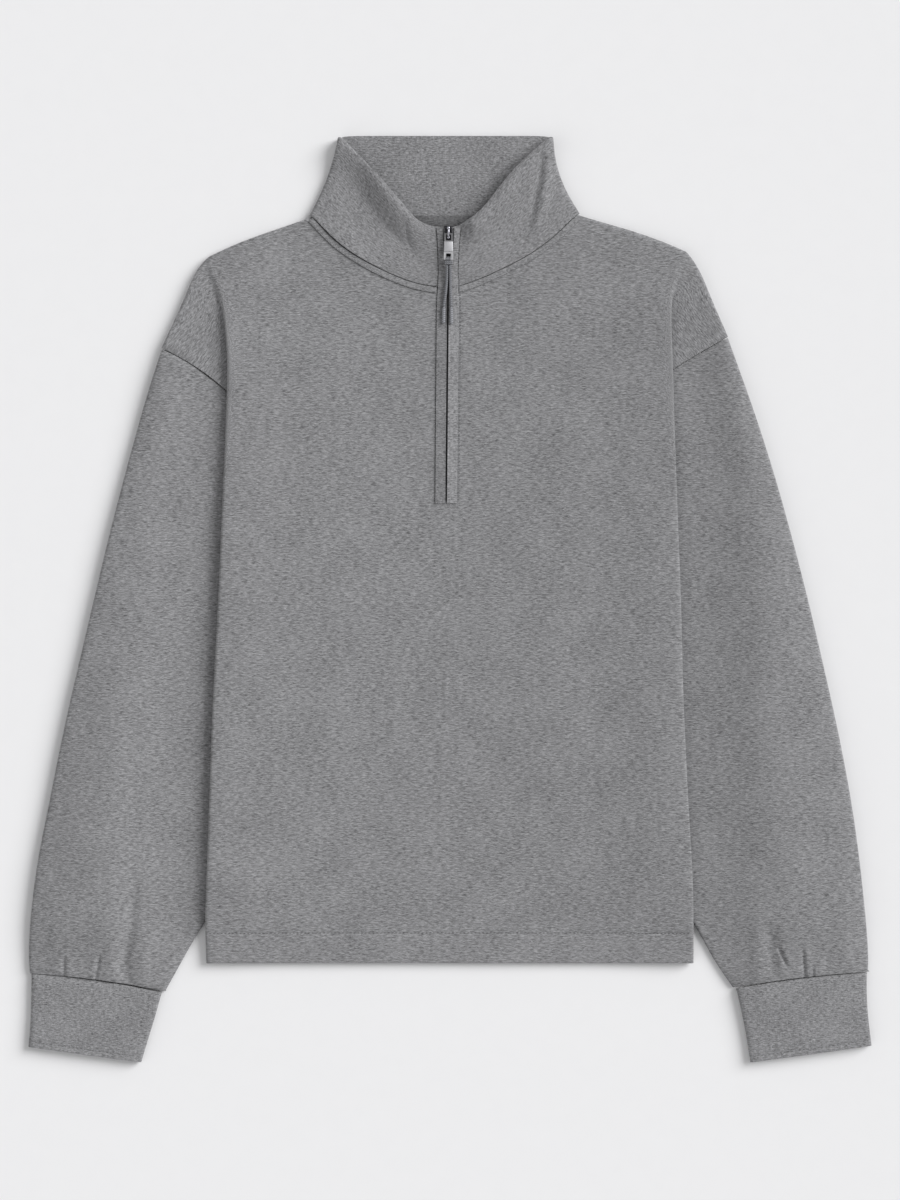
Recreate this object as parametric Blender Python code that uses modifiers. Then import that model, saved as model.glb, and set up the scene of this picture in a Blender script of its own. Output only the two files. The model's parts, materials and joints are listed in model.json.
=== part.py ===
"""Half-zip sweatshirt laid flat on its back, as its cut and sewn pieces.

X runs across the garment, +Y to the collar, +Z up from the surface it lies on. The sleeves are turned
down and lie under the sides of the body. The tables and sizes are in millimetres, and every mesh is
made in metres. On each half, "out" is the distance from the garment's middle line.
"""

import math
from collections import namedtuple

import bmesh
import bpy
import numpy as np

MM = 0.001

# Cloth: walls and the air between layers.
CLOTH = 1.8
DOUBLED = 3.4
CUFF_WALL = 3.0
STRIP_WALL = 0.9
TAPE_WALL = 0.6
SEAM_GAP = 0.3
HALF = CLOTH / 2
BACK_LOW = HALF
FRONT_LOW = 4.3
FRONT_LIFT = 3.6
BACK_LIFT = 4.5
EDGE_MID = 4.7

# Sleeves and cuffs: how high the flattened tubes stand.
SLEEVE_CROWN = 7.3
SLEEVE_EDGE = 5.6
UNDER_BODY = 4.0
CUFF_HEIGHT = 7.0
CLEAR_OF_BODY = 20.0
RISE_BESIDE_BODY = 22.0
RAMP_BACK = 30.0
RAMP_FRONT = 75.0

# Edges: the lip of a rolled edge, the room beside a seam, the least air under a strip, the smallest
# pleat, how far in the back's edge lies, and the row at the armhole's foot.
LIP = 0.5
SEAM_ROOM = SEAM_GAP + 0.2
STRIP_GAP = SEAM_GAP + 0.05
MIN_TUCK = 0.2
BACK_INSET = (EDGE_MID - BACK_LOW) / 2 + HALF + LIP + SEAM_ROOM
PIT_ROW_Y = 140.0

# Body: the hem, the column at the neck point, the last column and the zip.
HEM_Y = -298.0
NECK = 8
LAST = 11
ZIP_FOOT_Y = 78.0
SLIT = 1.4
NECK_STRIP = 4.6
BACK_NECK_Y = 313.9
COLLAR_TOP_Y = 379.3
NECK_RISE = 32.0
NECK_Z = 4.9
RIM_Y = 303.6
RIM_Z = 8.6
SHOULDER_START = 2.0
SHOULDER_END = 4.5

# Zip: the slider, the pull tab that swings on it, and the cord puller.
CHAIN_WIDTH = 2.0
CHAIN_HEIGHT = 1.6
SLIDER_X = -1.2
SLIDER_TOP_Y = 304.6
SLIDER_LENGTH = 12.4
SLIDER_WIDTH = 7.6
PLATE = 1.6
PIVOT_Y = 298.2
BACK_PLATE = 1.0
BACK_DROP = 0.9
WEB_RISE = 0.6
SLIDER_TILT = math.atan2(3.75, 48.4)
BRIDGE_WIDTH = 2.2
BRIDGE_FEET = (296.2, 302.6)
PULL_WALL = 1.1
PIVOT_ABOVE_PLATE = 0.9
BAR_Y = 277.4
BAR_RISE = 5.2
LOOP_WIDTH = 3.5
LOOP_INSIDE = 1.15
LOOP_OUTSIDE = 2.1
KNOT_FOOT = 4.3
KNOT_HALF = 1.45
KNOT_WIDTH = 6.6
CORD = 2.3
TIP = 2.8

Half = namedtuple("Half", "name sign edge outline collar armhole rings side_bow cuff")
Seam = namedtuple("Seam", "seam_out seam_y seam_z rim_out rim_y rim_z")
Ring = namedtuple("Ring", "outer_out outer_y inner_out inner_y bow")
Fold = namedtuple("Fold", "along outer upper angle tucked back_rise")
Row = namedtuple("Row", "middle_y edge_y")
Cuff = namedtuple("Cuff", "outer_out outer_y inner_out inner_y bow")
Armhole = namedtuple("Armhole", "edge_y top_y bow tuck drop")

# The body's rows from the hem up: heights at the middle and at the side edge, below the armhole.
ROWS = (
    Row(-298.0, -298.0),
    Row(-273.4, -273.4),
    Row(-248.0, -248.0),
    Row(-220.0, -218.0),
    Row(-165.0, -160.0),
    Row(-108.0, -100.0),
    Row(-50.0, -40.0),
    Row(10.0, 20.0),
    Row(55.0, 75.0),
)
# From the zip's foot up: heights at the middle, and the share of the way from armhole to shoulder.
ZIP_ROWS = (78.0, 112.0, 142.0, 170.0, 198.0, 224.0, 250.5, 255.5)
ARMHOLE_ROW = 10

# The pleat beside the armhole, from the shoulder corner down to the armhole seam: how far along the
# body's edge and along the outline each row ends, the upper layer's height, the angle that the cloth
# turns, the share of the tuck and of its drop, and the back panel's rise.
FOLDS = (
    Fold(0.00, 0.00, 4.9, 12.0, 0.0, 0.00),
    Fold(0.13, 0.15, 5.5, 45.0, 0.0, 0.00),
    Fold(0.25, 0.32, 6.3, 95.0, 0.0, 0.02),
    Fold(0.42, 0.52, 7.3, 150.0, 0.0, 0.06),
    Fold(0.60, 0.71, 7.8, 177.0, 0.33, 0.20),
    Fold(0.80, 0.87, 7.9, 180.0, 0.68, 0.55),
    Fold(1.00, 1.00, 7.9, 180.0, 1.0, 1.00),
)

# Where the body's columns start at the hem, as distances out.
HEM_OUT = (3.0, 12.5, 32.0, 55.0, 78.0, 100.0, 120.0, 137.0, 152.0, 167.0, 182.0, 198.0)
BACK_TOP_OUT = (0.0, 38.0, 78.0, 111.0, 140.0, 168.0, 197.0)

LEFT = Half(
    "left",
    -1,
    edge=(
        (-298.0, 199.8), (-262.0, 200.4), (-180.0, 197.4), (-83.0, 194.0), (0.0, 189.4), (81.0, 186.1),
        (150.0, 182.8), (194.0, 182.0), (217.0, 183.3), (233.0, 185.3), (252.0, 189.4), (264.0, 195.0),
        (279.0, 201.5),
    ),
    outline=(
        (115.6, 314.5), (123.0, 310.0), (151.7, 299.7), (183.3, 288.6), (197.6, 280.4), (208.3, 268.1),
        (215.5, 252.0), (222.2, 236.2), (230.0, 219.5), (236.4, 205.8),
    ),
    collar=(
        Seam(3.2, 255.6, 4.9, 3.0, 303.6, 8.6),
        Seam(12.4, 255.8, 4.9, 12.0, 304.2, 8.7),
        Seam(27.9, 258.3, 4.9, 25.4, 307.5, 8.8),
        Seam(47.6, 265.7, 5.0, 37.7, 320.6, 8.9),
        Seam(68.9, 276.3, 5.1, 51.7, 337.8, 8.8),
        Seam(86.9, 287.8, 5.3, 66.4, 354.2, 8.2),
        Seam(98.0, 297.6, 5.4, 77.5, 365.4, 7.3),
        Seam(106.5, 306.7, 5.6, 84.5, 372.4, 6.3),
        Seam(111.9, 312.5, 5.6, 88.6, 376.4, 5.6),
    ),
    armhole=Armhole(168.5, 279.0, 5.0, 26.0, 19.5),
    rings=(
        Ring(236.3, 205.0, 154.8, 147.8, 5.0),
        Ring(248.5, 167.5, 138.0, 106.0, 3.5),
        Ring(261.5, 120.5, 128.5, 65.0, 1.0),
        Ring(277.0, 62.5, 123.0, 15.5, 0.0),
        Ring(290.5, 5.5, 121.5, -33.5, 0.0),
        Ring(303.5, -50.0, 123.0, -83.0, 0.0),
        Ring(317.0, -107.5, 130.5, -136.0, 0.0),
        Ring(328.0, -165.0, 143.5, -183.0, 0.0),
        Ring(338.0, -212.5, 164.0, -220.5, 0.0),
        Ring(343.0, -251.0, 193.5, -253.5, 0.0),
        Ring(345.0, -277.0, 208.5, -277.0, 1.0),
        Ring(345.2, -293.5, 218.5, -295.0, 2.0),
        Ring(344.4, -306.4, 233.0, -321.2, 2.4),
    ),
    side_bow=3.3,
    cuff=(
        Cuff(343.0, -306.9, 235.8, -322.3, 2.4),
        Cuff(343.2, -330.0, 241.0, -341.5, 1.5),
        Cuff(344.0, -349.5, 247.0, -361.0, 0.7),
        Cuff(345.5, -366.5, 252.5, -379.3, 0.0),
    ),
)
RIGHT = Half(
    "right",
    1,
    edge=(
        (-298.0, 199.6), (-230.0, 198.9), (-165.0, 194.8), (-83.0, 190.9), (0.0, 189.0), (81.0, 185.8),
        (150.0, 183.3), (194.0, 182.3), (217.0, 181.2), (233.0, 180.8), (252.0, 182.0), (264.0, 186.5),
        (280.0, 196.0),
    ),
    outline=(
        (110.7, 313.5), (123.0, 309.6), (167.3, 296.0), (189.4, 287.0), (197.6, 279.6), (205.0, 268.1),
        (211.0, 254.0), (216.5, 240.5), (222.5, 227.0), (227.8, 214.6),
    ),
    collar=(
        Seam(-0.2, 255.6, 4.9, 0.0, 303.6, 8.6),
        Seam(8.3, 255.9, 4.9, 9.8, 305.9, 8.7),
        Seam(26.2, 262.8, 4.9, 20.5, 311.6, 8.8),
        Seam(44.3, 271.4, 5.0, 31.2, 323.1, 8.9),
        Seam(62.3, 280.4, 5.1, 42.6, 339.1, 8.8),
        Seam(78.7, 291.5, 5.3, 56.6, 354.7, 8.2),
        Seam(89.5, 301.2, 5.4, 68.2, 365.2, 7.3),
        Seam(97.5, 309.0, 5.6, 76.0, 372.3, 6.3),
        Seam(103.0, 314.2, 5.6, 81.2, 376.4, 5.6),
    ),
    armhole=Armhole(186.6, 280.0, 1.5, 22.5, 14.5),
    rings=(
        Ring(227.7, 213.8, 158.7, 171.3, 1.5),
        Ring(242.5, 173.0, 141.0, 130.5, 1.0),
        Ring(260.0, 122.0, 131.0, 81.0, 0.0),
        Ring(277.0, 63.0, 124.5, 24.0, 0.0),
        Ring(292.0, 5.5, 122.0, -29.5, 0.0),
        Ring(305.0, -50.0, 123.0, -83.0, 0.0),
        Ring(318.0, -107.5, 129.5, -136.0, 0.0),
        Ring(329.0, -165.0, 143.5, -183.0, 0.0),
        Ring(335.5, -212.5, 164.0, -220.5, 0.0),
        Ring(339.5, -251.0, 191.0, -251.5, 0.0),
        Ring(342.0, -277.0, 206.0, -277.0, 0.5),
        Ring(342.8, -293.5, 215.5, -295.0, 1.5),
        Ring(342.4, -305.2, 231.5, -318.2, 2.0),
    ),
    side_bow=5.7,
    cuff=(
        Cuff(341.6, -305.9, 234.0, -319.0, 2.0),
        Cuff(341.4, -328.0, 238.6, -339.0, 1.3),
        Cuff(343.2, -347.5, 242.6, -359.5, 0.6),
        Cuff(345.5, -365.5, 245.5, -379.3, 0.0),
    ),
)
HALVES = (LEFT, RIGHT)

# Rounded edges, as angles from the top through the outside to beneath, and where tube points lie.
EDGE_TURN = (45.0, 0.0, -45.0, -90.0)
SIDE_TURN = (58.0, 26.0, -8.0, -45.0)
OUTER_ARC = (-90.0, -50.0, -15.0, 20.0, 55.0, 90.0)
INNER_ARC = (90.0, 45.0, 0.0, -45.0, -90.0)
TOP_SHARES = (0.1, 0.22, 0.36, 0.5, 0.64, 0.78, 0.9)
BOTTOM_SHARES = (0.82, 0.6, 0.4, 0.18)
TIP_SHARES = (0.33, 0.66, 1.0)
COLLAR_UP = (0.0, 0.25, 0.5, 0.75, 1.0)
COLLAR_SIDE = (0.966, 0.259)
NECK_CORNER = (0.97, -0.24)

# Along the zip: the strips' and the tapes' rows, and the ends of the chain's rows below the slider.
PLACKET_YS = (
    78.2, 112.0, 142.0, 170.0, 198.0, 224.0, 238.0, 248.5, 251.0, 254.0, 262.0, 268.0, 276.0, 283.0, 289.0,
    296.0, 303.6,
)
TAPE_YS = (70.0, 112.0, 160.0, 210.0, 228.0, 243.0, 247.0, 251.0, 255.5, 280.0, 301.0)
CHAIN_TOP_Y = SLIDER_TOP_Y - SLIDER_LENGTH - SEAM_GAP
CHAIN_YS = (79.6, 112.0, 160.0, 224.0, 232.0, 240.0, 248.0, 255.5, 274.0, CHAIN_TOP_Y)

# The two free strands: each a route from the knot down over the strips, and its tip.
Strand = namedtuple("Strand", "name start_x points tip")
STRANDS = (
    Strand("left", -2.5, ((-2.55, 268.0), (-2.75, 260.0), (-3.6, 250.0), (-4.7, 242.0), (-4.95, 238.9)),
           ((-5.0, 238.5), (-5.3, 225.5))),
    Strand("right", 0.1, ((0.2, 268.0), (0.3, 260.0), (0.45, 250.0), (0.8, 242.0), (0.95, 238.9)),
           ((0.97, 238.5), (1.15, 224.7))),
)


# Curves and small helpers

def smooth(value):
    """0 to 1 with a soft start and end."""
    value = min(max(value, 0.0), 1.0)
    return value * value * (3 - 2 * value)


def mix(a, b, share):
    return a + (b - a) * share


def between(table, key, column=1, by=0):
    """One column of a table, read at a key value between its rows."""
    rows = sorted(table, key=lambda row: row[by])
    return float(np.interp(key, [row[by] for row in rows], [row[column] for row in rows]))


def on_curve(points, place):
    """A point of the smooth curve through points, at a place counted in points."""
    points = np.asarray(points, float)
    low = int(min(max(math.floor(place), 0), len(points) - 2))
    t = place - low
    before = points[low - 1] if low > 0 else 2 * points[0] - points[1]
    after = points[low + 2] if low + 2 < len(points) else 2 * points[-1] - points[-2]
    start, end = points[low], points[low + 1]
    return 0.5 * (
        2 * start
        + (end - before) * t
        + (2 * before - 5 * start + 4 * end - after) * t * t
        + (3 * start - before - 3 * end + after) * t**3
    )


def outward(points, place, step=0.05):
    """The unit normal of a curve in the plan, on the side away from the body."""
    along = on_curve(points, place + step) - on_curve(points, place - step)
    along /= np.hypot(*along)
    return np.array((-along[1], along[0]))


def place_at(points, out):
    """The place on an outline where it passes a distance out."""
    outs = [point[0] for point in points]
    return float(np.interp(out, outs, range(len(outs))))


def zip_x(y):
    """The zip's middle line drifts a little to the left on its way down."""
    return mix(-3.2, SLIDER_X, (y - ZIP_FOOT_Y) / (304.0 - ZIP_FOOT_Y))


def inner_line(half, y):
    """How far out the hidden inner edge of the sleeve lies."""
    return between([(ring.inner_y, ring.inner_out) for ring in half.rings], y)


def edge_out(half, y):
    return between(half.edge, y)


# Heights

def front_height(half, out, y):
    """The middle of the front's wall: low in the middle, raised where the sleeve lies under it."""
    ramp = smooth((out - inner_line(half, y) + RAMP_FRONT) / (RAMP_FRONT - 5))
    top = between(((168.0, 1.0), (215.0, 0.75), (252.0, 0.45), (279.0, 0.15), (315.0, 0.0)), y)
    foot = between(((-298.0, 0.35), (-262.0, 0.95), (-230.0, 1.0)), y)
    raised = FRONT_LOW + FRONT_LIFT * ramp * top * foot
    return max(raised, back_height(half, out, y) + CLOTH + 0.6) if y < half.armhole.edge_y else raised


def back_height(half, out, y):
    """The middle of the back's wall: flat on the surface, and over the sleeve at the sides."""
    return BACK_LOW + BACK_LIFT * smooth((out - inner_line(half, y) + RAMP_BACK) / RAMP_BACK)


def sleeve_top(half, out, y, across, inner_height=UNDER_BODY):
    """The sleeve's upper side, across from 0 at its outer to 1 at its inner edge."""
    rim = mix(SLEEVE_EDGE, inner_height, across)
    own = rim + (SLEEVE_CROWN - rim) * (1 - abs(1 - 2 * across) ** 2.6)
    beside = max(out - edge_out(half, y), HEM_Y - y) - CLEAR_OF_BODY
    under = UNDER_BODY + (SLEEVE_CROWN - UNDER_BODY + 0.2) * smooth(beside / RISE_BESIDE_BODY)
    return min(own, under)


def zip_height(y):
    """The middle of the cloth's wall along the zip, on the front and up the collar."""
    if y < ZIP_ROWS[-1]:
        return mix(FRONT_LOW, NECK_Z, smooth(1 - (ZIP_ROWS[-1] - y) / NECK_RISE))
    return mix(NECK_Z, RIM_Z, (y - ZIP_ROWS[-1]) / (RIM_Y - ZIP_ROWS[-1]))


def zip_top(y):
    """The upper side of the cloth along the zip: the collar is doubled, the front is not."""
    return zip_height(y) + mix(HALF, DOUBLED / 2, smooth((y - 248.5) / 5.5))


# Meshes

class Cloth:
    """The points and faces of one open surface, in millimetres."""

    def __init__(self):
        self.points = []
        self.faces = []

    def row(self, points):
        first = len(self.points)
        self.points.extend(tuple(point) for point in points)
        return list(range(first, len(self.points)))

    def bridge(self, low, high, turn=False):
        """Faces between two rows of points, as many as the shorter row has."""
        for a, b, c, d in zip(low, low[1:], high[1:], high):
            self.faces.append((d, c, b, a) if turn else (a, b, c, d))


def material(name, color, roughness, metallic=0.0):
    made = bpy.data.materials.new(name)
    made.use_nodes = True
    shader = made.node_tree.nodes["Principled BSDF"]
    shader.inputs["Base Color"].default_value = (*color, 1.0)
    shader.inputs["Roughness"].default_value = roughness
    shader.inputs["Metallic"].default_value = metallic
    return made


def add_object(name, mesh, finish, collection):
    obj = bpy.data.objects.new(name, mesh)
    obj.data.materials.append(finish)
    collection.objects.link(obj)
    return obj


def add_cloth(name, cloth, wall, offset, finish, collection):
    """An open surface as a cloth wall: offset 0 keeps it in the wall's middle, -1 on its outside."""
    mesh = bpy.data.meshes.new(name)
    mesh.from_pydata([tuple(value * MM for value in point) for point in cloth.points], [], cloth.faces)
    mesh.validate()
    mesh.shade_smooth()
    obj = add_object(name, mesh, finish, collection)
    solidify = obj.modifiers.new("wall", "SOLIDIFY")
    solidify.thickness = wall * MM
    solidify.offset = offset
    return obj


def turned(half, points):
    """Points given as (out, y, z) on one half, in the garment's own axes."""
    return [(half.sign * out, y, z) for out, y, z in points]


# Front and back

def front_top(half, column):
    """The upper end of a front column: on the neckline, or inside the shoulder's rounded edge."""
    if column <= NECK:
        seam = on_curve([(s.seam_out, s.seam_y, s.seam_z) for s in half.collar], column)
        low = on_curve([(s.seam_out, s.seam_y) for s in half.collar], max(column - 0.3, 0))
        high = on_curve([(s.seam_out, s.seam_y) for s in half.collar], min(column + 0.3, NECK))
        along = (high - low) / np.hypot(*(high - low))
        down = np.array((along[1], -along[0]))
        return seam[:2] + down * (SEAM_ROOM), seam[2], down
    share = (column - NECK) / (LAST - NECK)
    out = mix(half.outline[0][0] + SHOULDER_START, edge_out(half, half.armhole.top_y) - SHOULDER_END, share)
    place = place_at(half.outline, out)
    normal = outward(half.outline, place)
    inset = (EDGE_MID - BACK_LOW) / 2 + HALF
    return on_curve(half.outline, place) - normal * inset, NECK_Z, -normal


def zip_edge(half, y, column):
    """The slit's edge is column 0 and the strip's outer edge is column 1."""
    width = between(((78.0, 9.2), (240.0, 9.4), (268.0, 7.9), (292.0, 9.0), (304.0, 10.2)), y)
    return half.sign * zip_x(y) + (SLIT if column == 0 else width)


def front_point(half, row, column):
    """One point of the front's body, from the hem, row 0, to the neckline or shoulder."""
    top, top_z, down = front_top(half, column)
    share = column / LAST
    last_row = len(ROWS) + len(ZIP_ROWS) - 1
    if row < len(ROWS):
        middle_y, edge_y = ROWS[row]
    else:
        middle_y = ZIP_ROWS[row - len(ROWS)]
        edge_y = fold_y(half, row) if row >= ARMHOLE_ROW else side_y(half, row)
    middle_share = (middle_y - HEM_Y) / (ZIP_ROWS[-1] - HEM_Y)
    edge_share = (edge_y - HEM_Y) / (fold_y(half, last_row) - HEM_Y)
    y = HEM_Y + (top[1] - HEM_Y) * mix(middle_share, edge_share, share)
    up = (y - HEM_Y) / (top[1] - HEM_Y)
    out = mix(HEM_OUT[column], top[0], up)
    if row >= last_row - 1 and column <= NECK:
        out, y = top if row == last_row else top + down * NECK_STRIP
    if row == last_row:
        out, y = top
    if column < 2 and y < half.collar[0].seam_y:
        out = zip_edge(half, y, column)
    rise = smooth(1 - (top[1] - y) / NECK_RISE)
    return out, y, mix(front_height(half, out, y), top_z, rise)


def fold_y(half, row):
    """The height at which a row above the armhole meets the body's edge."""
    fold = FOLDS[len(ROWS) + len(ZIP_ROWS) - 1 - row]
    return mix(half.armhole.top_y, half.armhole.edge_y, fold.along)


def side_y(half, row):
    """The height at which a row below the armhole meets the body's edge."""
    return ROWS[row].edge_y if row < len(ROWS) else mix(ROWS[-1].edge_y, half.armhole.edge_y, 0.5)


def edge_column(half, row):
    """The last body column of a row: the point where the side edge starts to turn under."""
    last_row = len(ROWS) + len(ZIP_ROWS) - 1
    if row < ARMHOLE_ROW:
        y = side_y(half, row)
        upper = front_height(half, edge_out(half, y), y)
        turn = (upper - back_height(half, edge_out(half, y) - 3, y)) / 2
        return edge_out(half, y) - turn - HALF, y, upper, turn
    fold = FOLDS[last_row - row]
    if row == last_row:
        (out, y), upper, _ = front_top(half, LAST)
    else:
        y = fold_y(half, row)
        out, upper = edge_out(half, y), fold.upper
        angle = math.radians(fold.angle)
        out -= (fold_radius(half, fold) + HALF) * math.sin(min(angle, math.pi / 2))
    return out, y, upper, fold_radius(half, fold)


def tip_height(half, fold, out, y, across):
    """The middle of the wall on the drop-shoulder point, beside the pleat."""
    settled = smooth(fold.along / 0.6)
    return mix(EDGE_MID, sleeve_top(half, out, y, across) - HALF, settled)


def fold_radius(half, fold):
    """The pleat's bend, so that two turns and the tucked layer drop from the upper layer to the tip."""
    angle = math.radians(fold.angle)
    lower = mix(EDGE_MID, UNDER_BODY - HALF, smooth(fold.along / 0.6))
    fall = max(fold.upper - lower - fold.tucked * half.armhole.tuck * math.sin(angle), 0.15)
    return fall / (2 * (1 - math.cos(angle)))


def pleat(half, row, steps=4):
    """From the body's edge, under it, back inwards and out again to the drop-shoulder point."""
    fold = FOLDS[len(ROWS) + len(ZIP_ROWS) - 1 - row]
    out, y, upper, radius = edge_column(half, row)
    angle = math.radians(fold.angle)
    points = []
    for step in range(1, steps + 1):
        turn = angle * step / steps
        points.append((out + radius * math.sin(turn), y, upper - radius * (1 - math.cos(turn))))
    start_out, _, start_z = points[-1]
    tuck = max(fold.tucked * half.armhole.tuck, MIN_TUCK)
    end_out = start_out + tuck * math.cos(angle)
    end_y = y - fold.tucked * half.armhole.drop
    end_z = start_z - tuck * math.sin(angle)
    points.append((mix(start_out, end_out, 0.5), mix(y, end_y, 0.5), mix(start_z, end_z, 0.5)))
    for step in range(steps + 1):
        turn = angle * (1 - step / steps)
        points.append((
            end_out + radius * (math.sin(angle) - math.sin(turn)),
            end_y,
            end_z - radius * (math.cos(turn) - math.cos(angle)),
        ))
    return points


def tip_start(half, fold_index):
    """Where the front's pleat ends and the drop-shoulder point begins, on a row of FOLDS."""
    return pleat(half, len(ROWS) + len(ZIP_ROWS) - 1 - fold_index)[-1]


def tip_outline(half, fold_index):
    """The place on the outline where a row of the drop-shoulder point ends, and the normal there."""
    corner = place_at(half.outline, edge_out(half, half.armhole.top_y) + 1.0)
    place = mix(corner, len(half.outline) - 1, FOLDS[fold_index].outer)
    return on_curve(half.outline, place), outward(half.outline, place)


def tip_row(half, fold_index, start, shares, inset):
    """Plan points of a drop-shoulder row from its start to the outline, bowed like the armhole seam."""
    end, normal = tip_outline(half, fold_index)
    end = end - normal * inset
    bow = half.armhole.bow * FOLDS[fold_index].along ** 2
    points = []
    for share in shares:
        out, y = mix(np.asarray(start), end, share)
        points.append((out, y + 4 * bow * share * (1 - share)))
    return points


def round_under(center, normal, middle_z, radius, angles):
    """Points round a rounded edge, from angle 90 on top through 0 outside to -90 beneath."""
    points = []
    for angle in map(math.radians, angles):
        reach = radius * math.cos(angle)
        points.append((center[0] + normal[0] * reach, center[1] + normal[1] * reach,
                       middle_z + radius * math.sin(angle)))
    return points


def edge_turn(center, normal, middle_z, radius):
    """A panel's edge rolled under, with a narrow flat lip where the other panel is sewn to it."""
    lip = (center[0] - normal[0] * LIP, center[1] - normal[1] * LIP, middle_z - radius)
    return round_under(center, normal, middle_z, radius, EDGE_TURN) + [lip]


def front_half(cloth, half):
    """One half of the front: the body, its side edge, the pleat, the shoulder point and their rims."""
    last_row = len(ROWS) + len(ZIP_ROWS) - 1
    edge_mid = (EDGE_MID + BACK_LOW) / 2
    radius = (EDGE_MID - BACK_LOW) / 2
    flip = half.sign > 0
    rows = []
    for row in range(last_row + 1):
        points = [front_point(half, row, column) for column in range(LAST)]
        out, y, upper, turn = edge_column(half, row)
        points.append((out, y, upper))
        if row < ARMHOLE_ROW:
            points += edge_turn((out, y), (1, 0), upper - turn, turn)
        else:
            fold_index = last_row - row
            fold = FOLDS[fold_index]
            folded = pleat(half, row)
            points += folded
            start = folded[-1]
            plan = tip_row(half, fold_index, start[:2], TIP_SHARES, radius + HALF)
            for share, (out, y) in zip(TIP_SHARES, plan):
                height = tip_height(half, fold, out, y, 1 - share)
                settled = smooth(fold.along / 0.6)
                height = mix(mix(start[2], EDGE_MID, share), height, settled)
                points.append((out, y, mix(height, EDGE_MID, smooth(share * 3 - 2))))
        rows.append(cloth.row(turned(half, points)))
    for low, high in zip(rows, rows[1:]):
        cloth.bridge(low, high, flip)
    rim_points = []
    normals = []
    for column in range(NECK, LAST + 1):
        rim_points.append(rows[-1][column])
        normals.append(NECK_CORNER if column == NECK else -front_top(half, column)[2])
    corner, corner_normal = tip_outline(half, 0)
    for index in rows[-1][LAST + 1:]:
        rim_points.append(index)
        normals.append(corner_normal)
    for fold_index in range(1, len(FOLDS)):
        rim_points.append(rows[last_row - fold_index][-1])
        normals.append(tip_outline(half, fold_index)[1])
    rims = []
    for index, normal in zip(rim_points, normals):
        out, y, _ = cloth.points[index]
        rims.append([index] + cloth.row(turned(half, edge_turn((abs(out), y), normal, edge_mid, radius))))
    for near, far in zip(rims, rims[1:]):
        cloth.bridge(near, far, not flip)
    return rows


def front_panel():
    cloth = Cloth()
    left_rows = front_half(cloth, LEFT)
    right_rows = front_half(cloth, RIGHT)
    foot = len(ROWS)
    for row in range(foot):
        left, left_next = left_rows[row][0], left_rows[row + 1][0]
        right, right_next = right_rows[row][0], right_rows[row + 1][0]
        cloth.faces.append((left, left_next, right_next, right))
    return cloth


def back_row(half, row):
    """How far out the points of a back row lie: flat, then up a ramp, then over the sleeve."""
    edge = edge_column(half, row)[0] - LIP - SEAM_ROOM
    ramp_top = min(inner_line(half, side_y(half, row)) - 3.5, edge - 6)
    foot = ramp_top - RAMP_BACK
    return (0.0, foot / 3, foot * 2 / 3, foot, ramp_top, (ramp_top + edge) / 2, edge)


def back_half(cloth, half, middle):
    """One half of the back, which lies on the surface and runs over the sleeve at the side."""
    last = len(BACK_TOP_OUT) - 1
    rows = []
    for row in range(ARMHOLE_ROW):
        _, y, upper, turn = edge_column(half, row)
        points = [(out, y, back_height(half, out + 3.5, y)) for out in back_row(half, row)]
        points[-1] = (points[-1][0], y, upper - 2 * turn)
        rows.append(middle_row(cloth, half, middle, points))
    for fold_index in reversed(range(len(FOLDS))):
        rows.append(middle_row(cloth, half, middle, back_upper_row(half, fold_index, last)))
    for low, high in zip(rows, rows[1:]):
        cloth.bridge(low, high, half.sign < 0)


def back_upper_row(half, fold_index, last):
    """A back row beside the armhole: the body, a step down at the pleat, and the shoulder point."""
    fold = FOLDS[fold_index]
    start_out, start_y, _ = tip_start(half, fold_index)
    wall = start_out - fold_radius(half, fold) - CLOTH - 0.8
    ramp_top = wall - 5
    foot = ramp_top - RAMP_BACK
    low_outs = (0.0, foot / 3, foot * 2 / 3, foot, ramp_top, (ramp_top + wall) / 2, wall)
    pit_y = tip_start(half, len(FOLDS) - 1)[1]
    points = []
    for column, low_out in enumerate(low_outs):
        top_out, top_y = back_top(half, column)
        out = mix(top_out, low_out, fold.along)
        y = mix(top_y, mix(PIT_ROW_Y, pit_y, column / last), fold.along)
        rise = smooth((out - foot) / RAMP_BACK) * fold.back_rise
        points.append((out, y, BACK_LOW + BACK_LIFT * rise))
    if fold_index:
        points[-1] = (wall, start_y, points[-1][2])
    foot_out, foot_y, _ = points[-1]
    foot_out += mix(1.2, 0.02, fold.back_rise)
    points.append((foot_out, foot_y, BACK_LOW))
    plan = tip_row(half, fold_index, (foot_out, foot_y), TIP_SHARES, BACK_INSET)
    return points + [(out, y, BACK_LOW) for out, y in plan]


def middle_row(cloth, half, middle, points):
    """A row of back points whose first one is shared by both halves."""
    if half.sign < 0:
        made = cloth.row(turned(half, points))
        middle.append(made[0])
        return made
    shared = middle.pop(0)
    return [shared] + cloth.row(turned(half, points[1:]))


def back_neck(half, out):
    """The height of the seam between the back and the collar."""
    share = min(out / half.collar[-1].seam_out, 1.0)
    return mix(BACK_NECK_Y, half.collar[-1].seam_y + 2 * SEAM_GAP, share)


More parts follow.
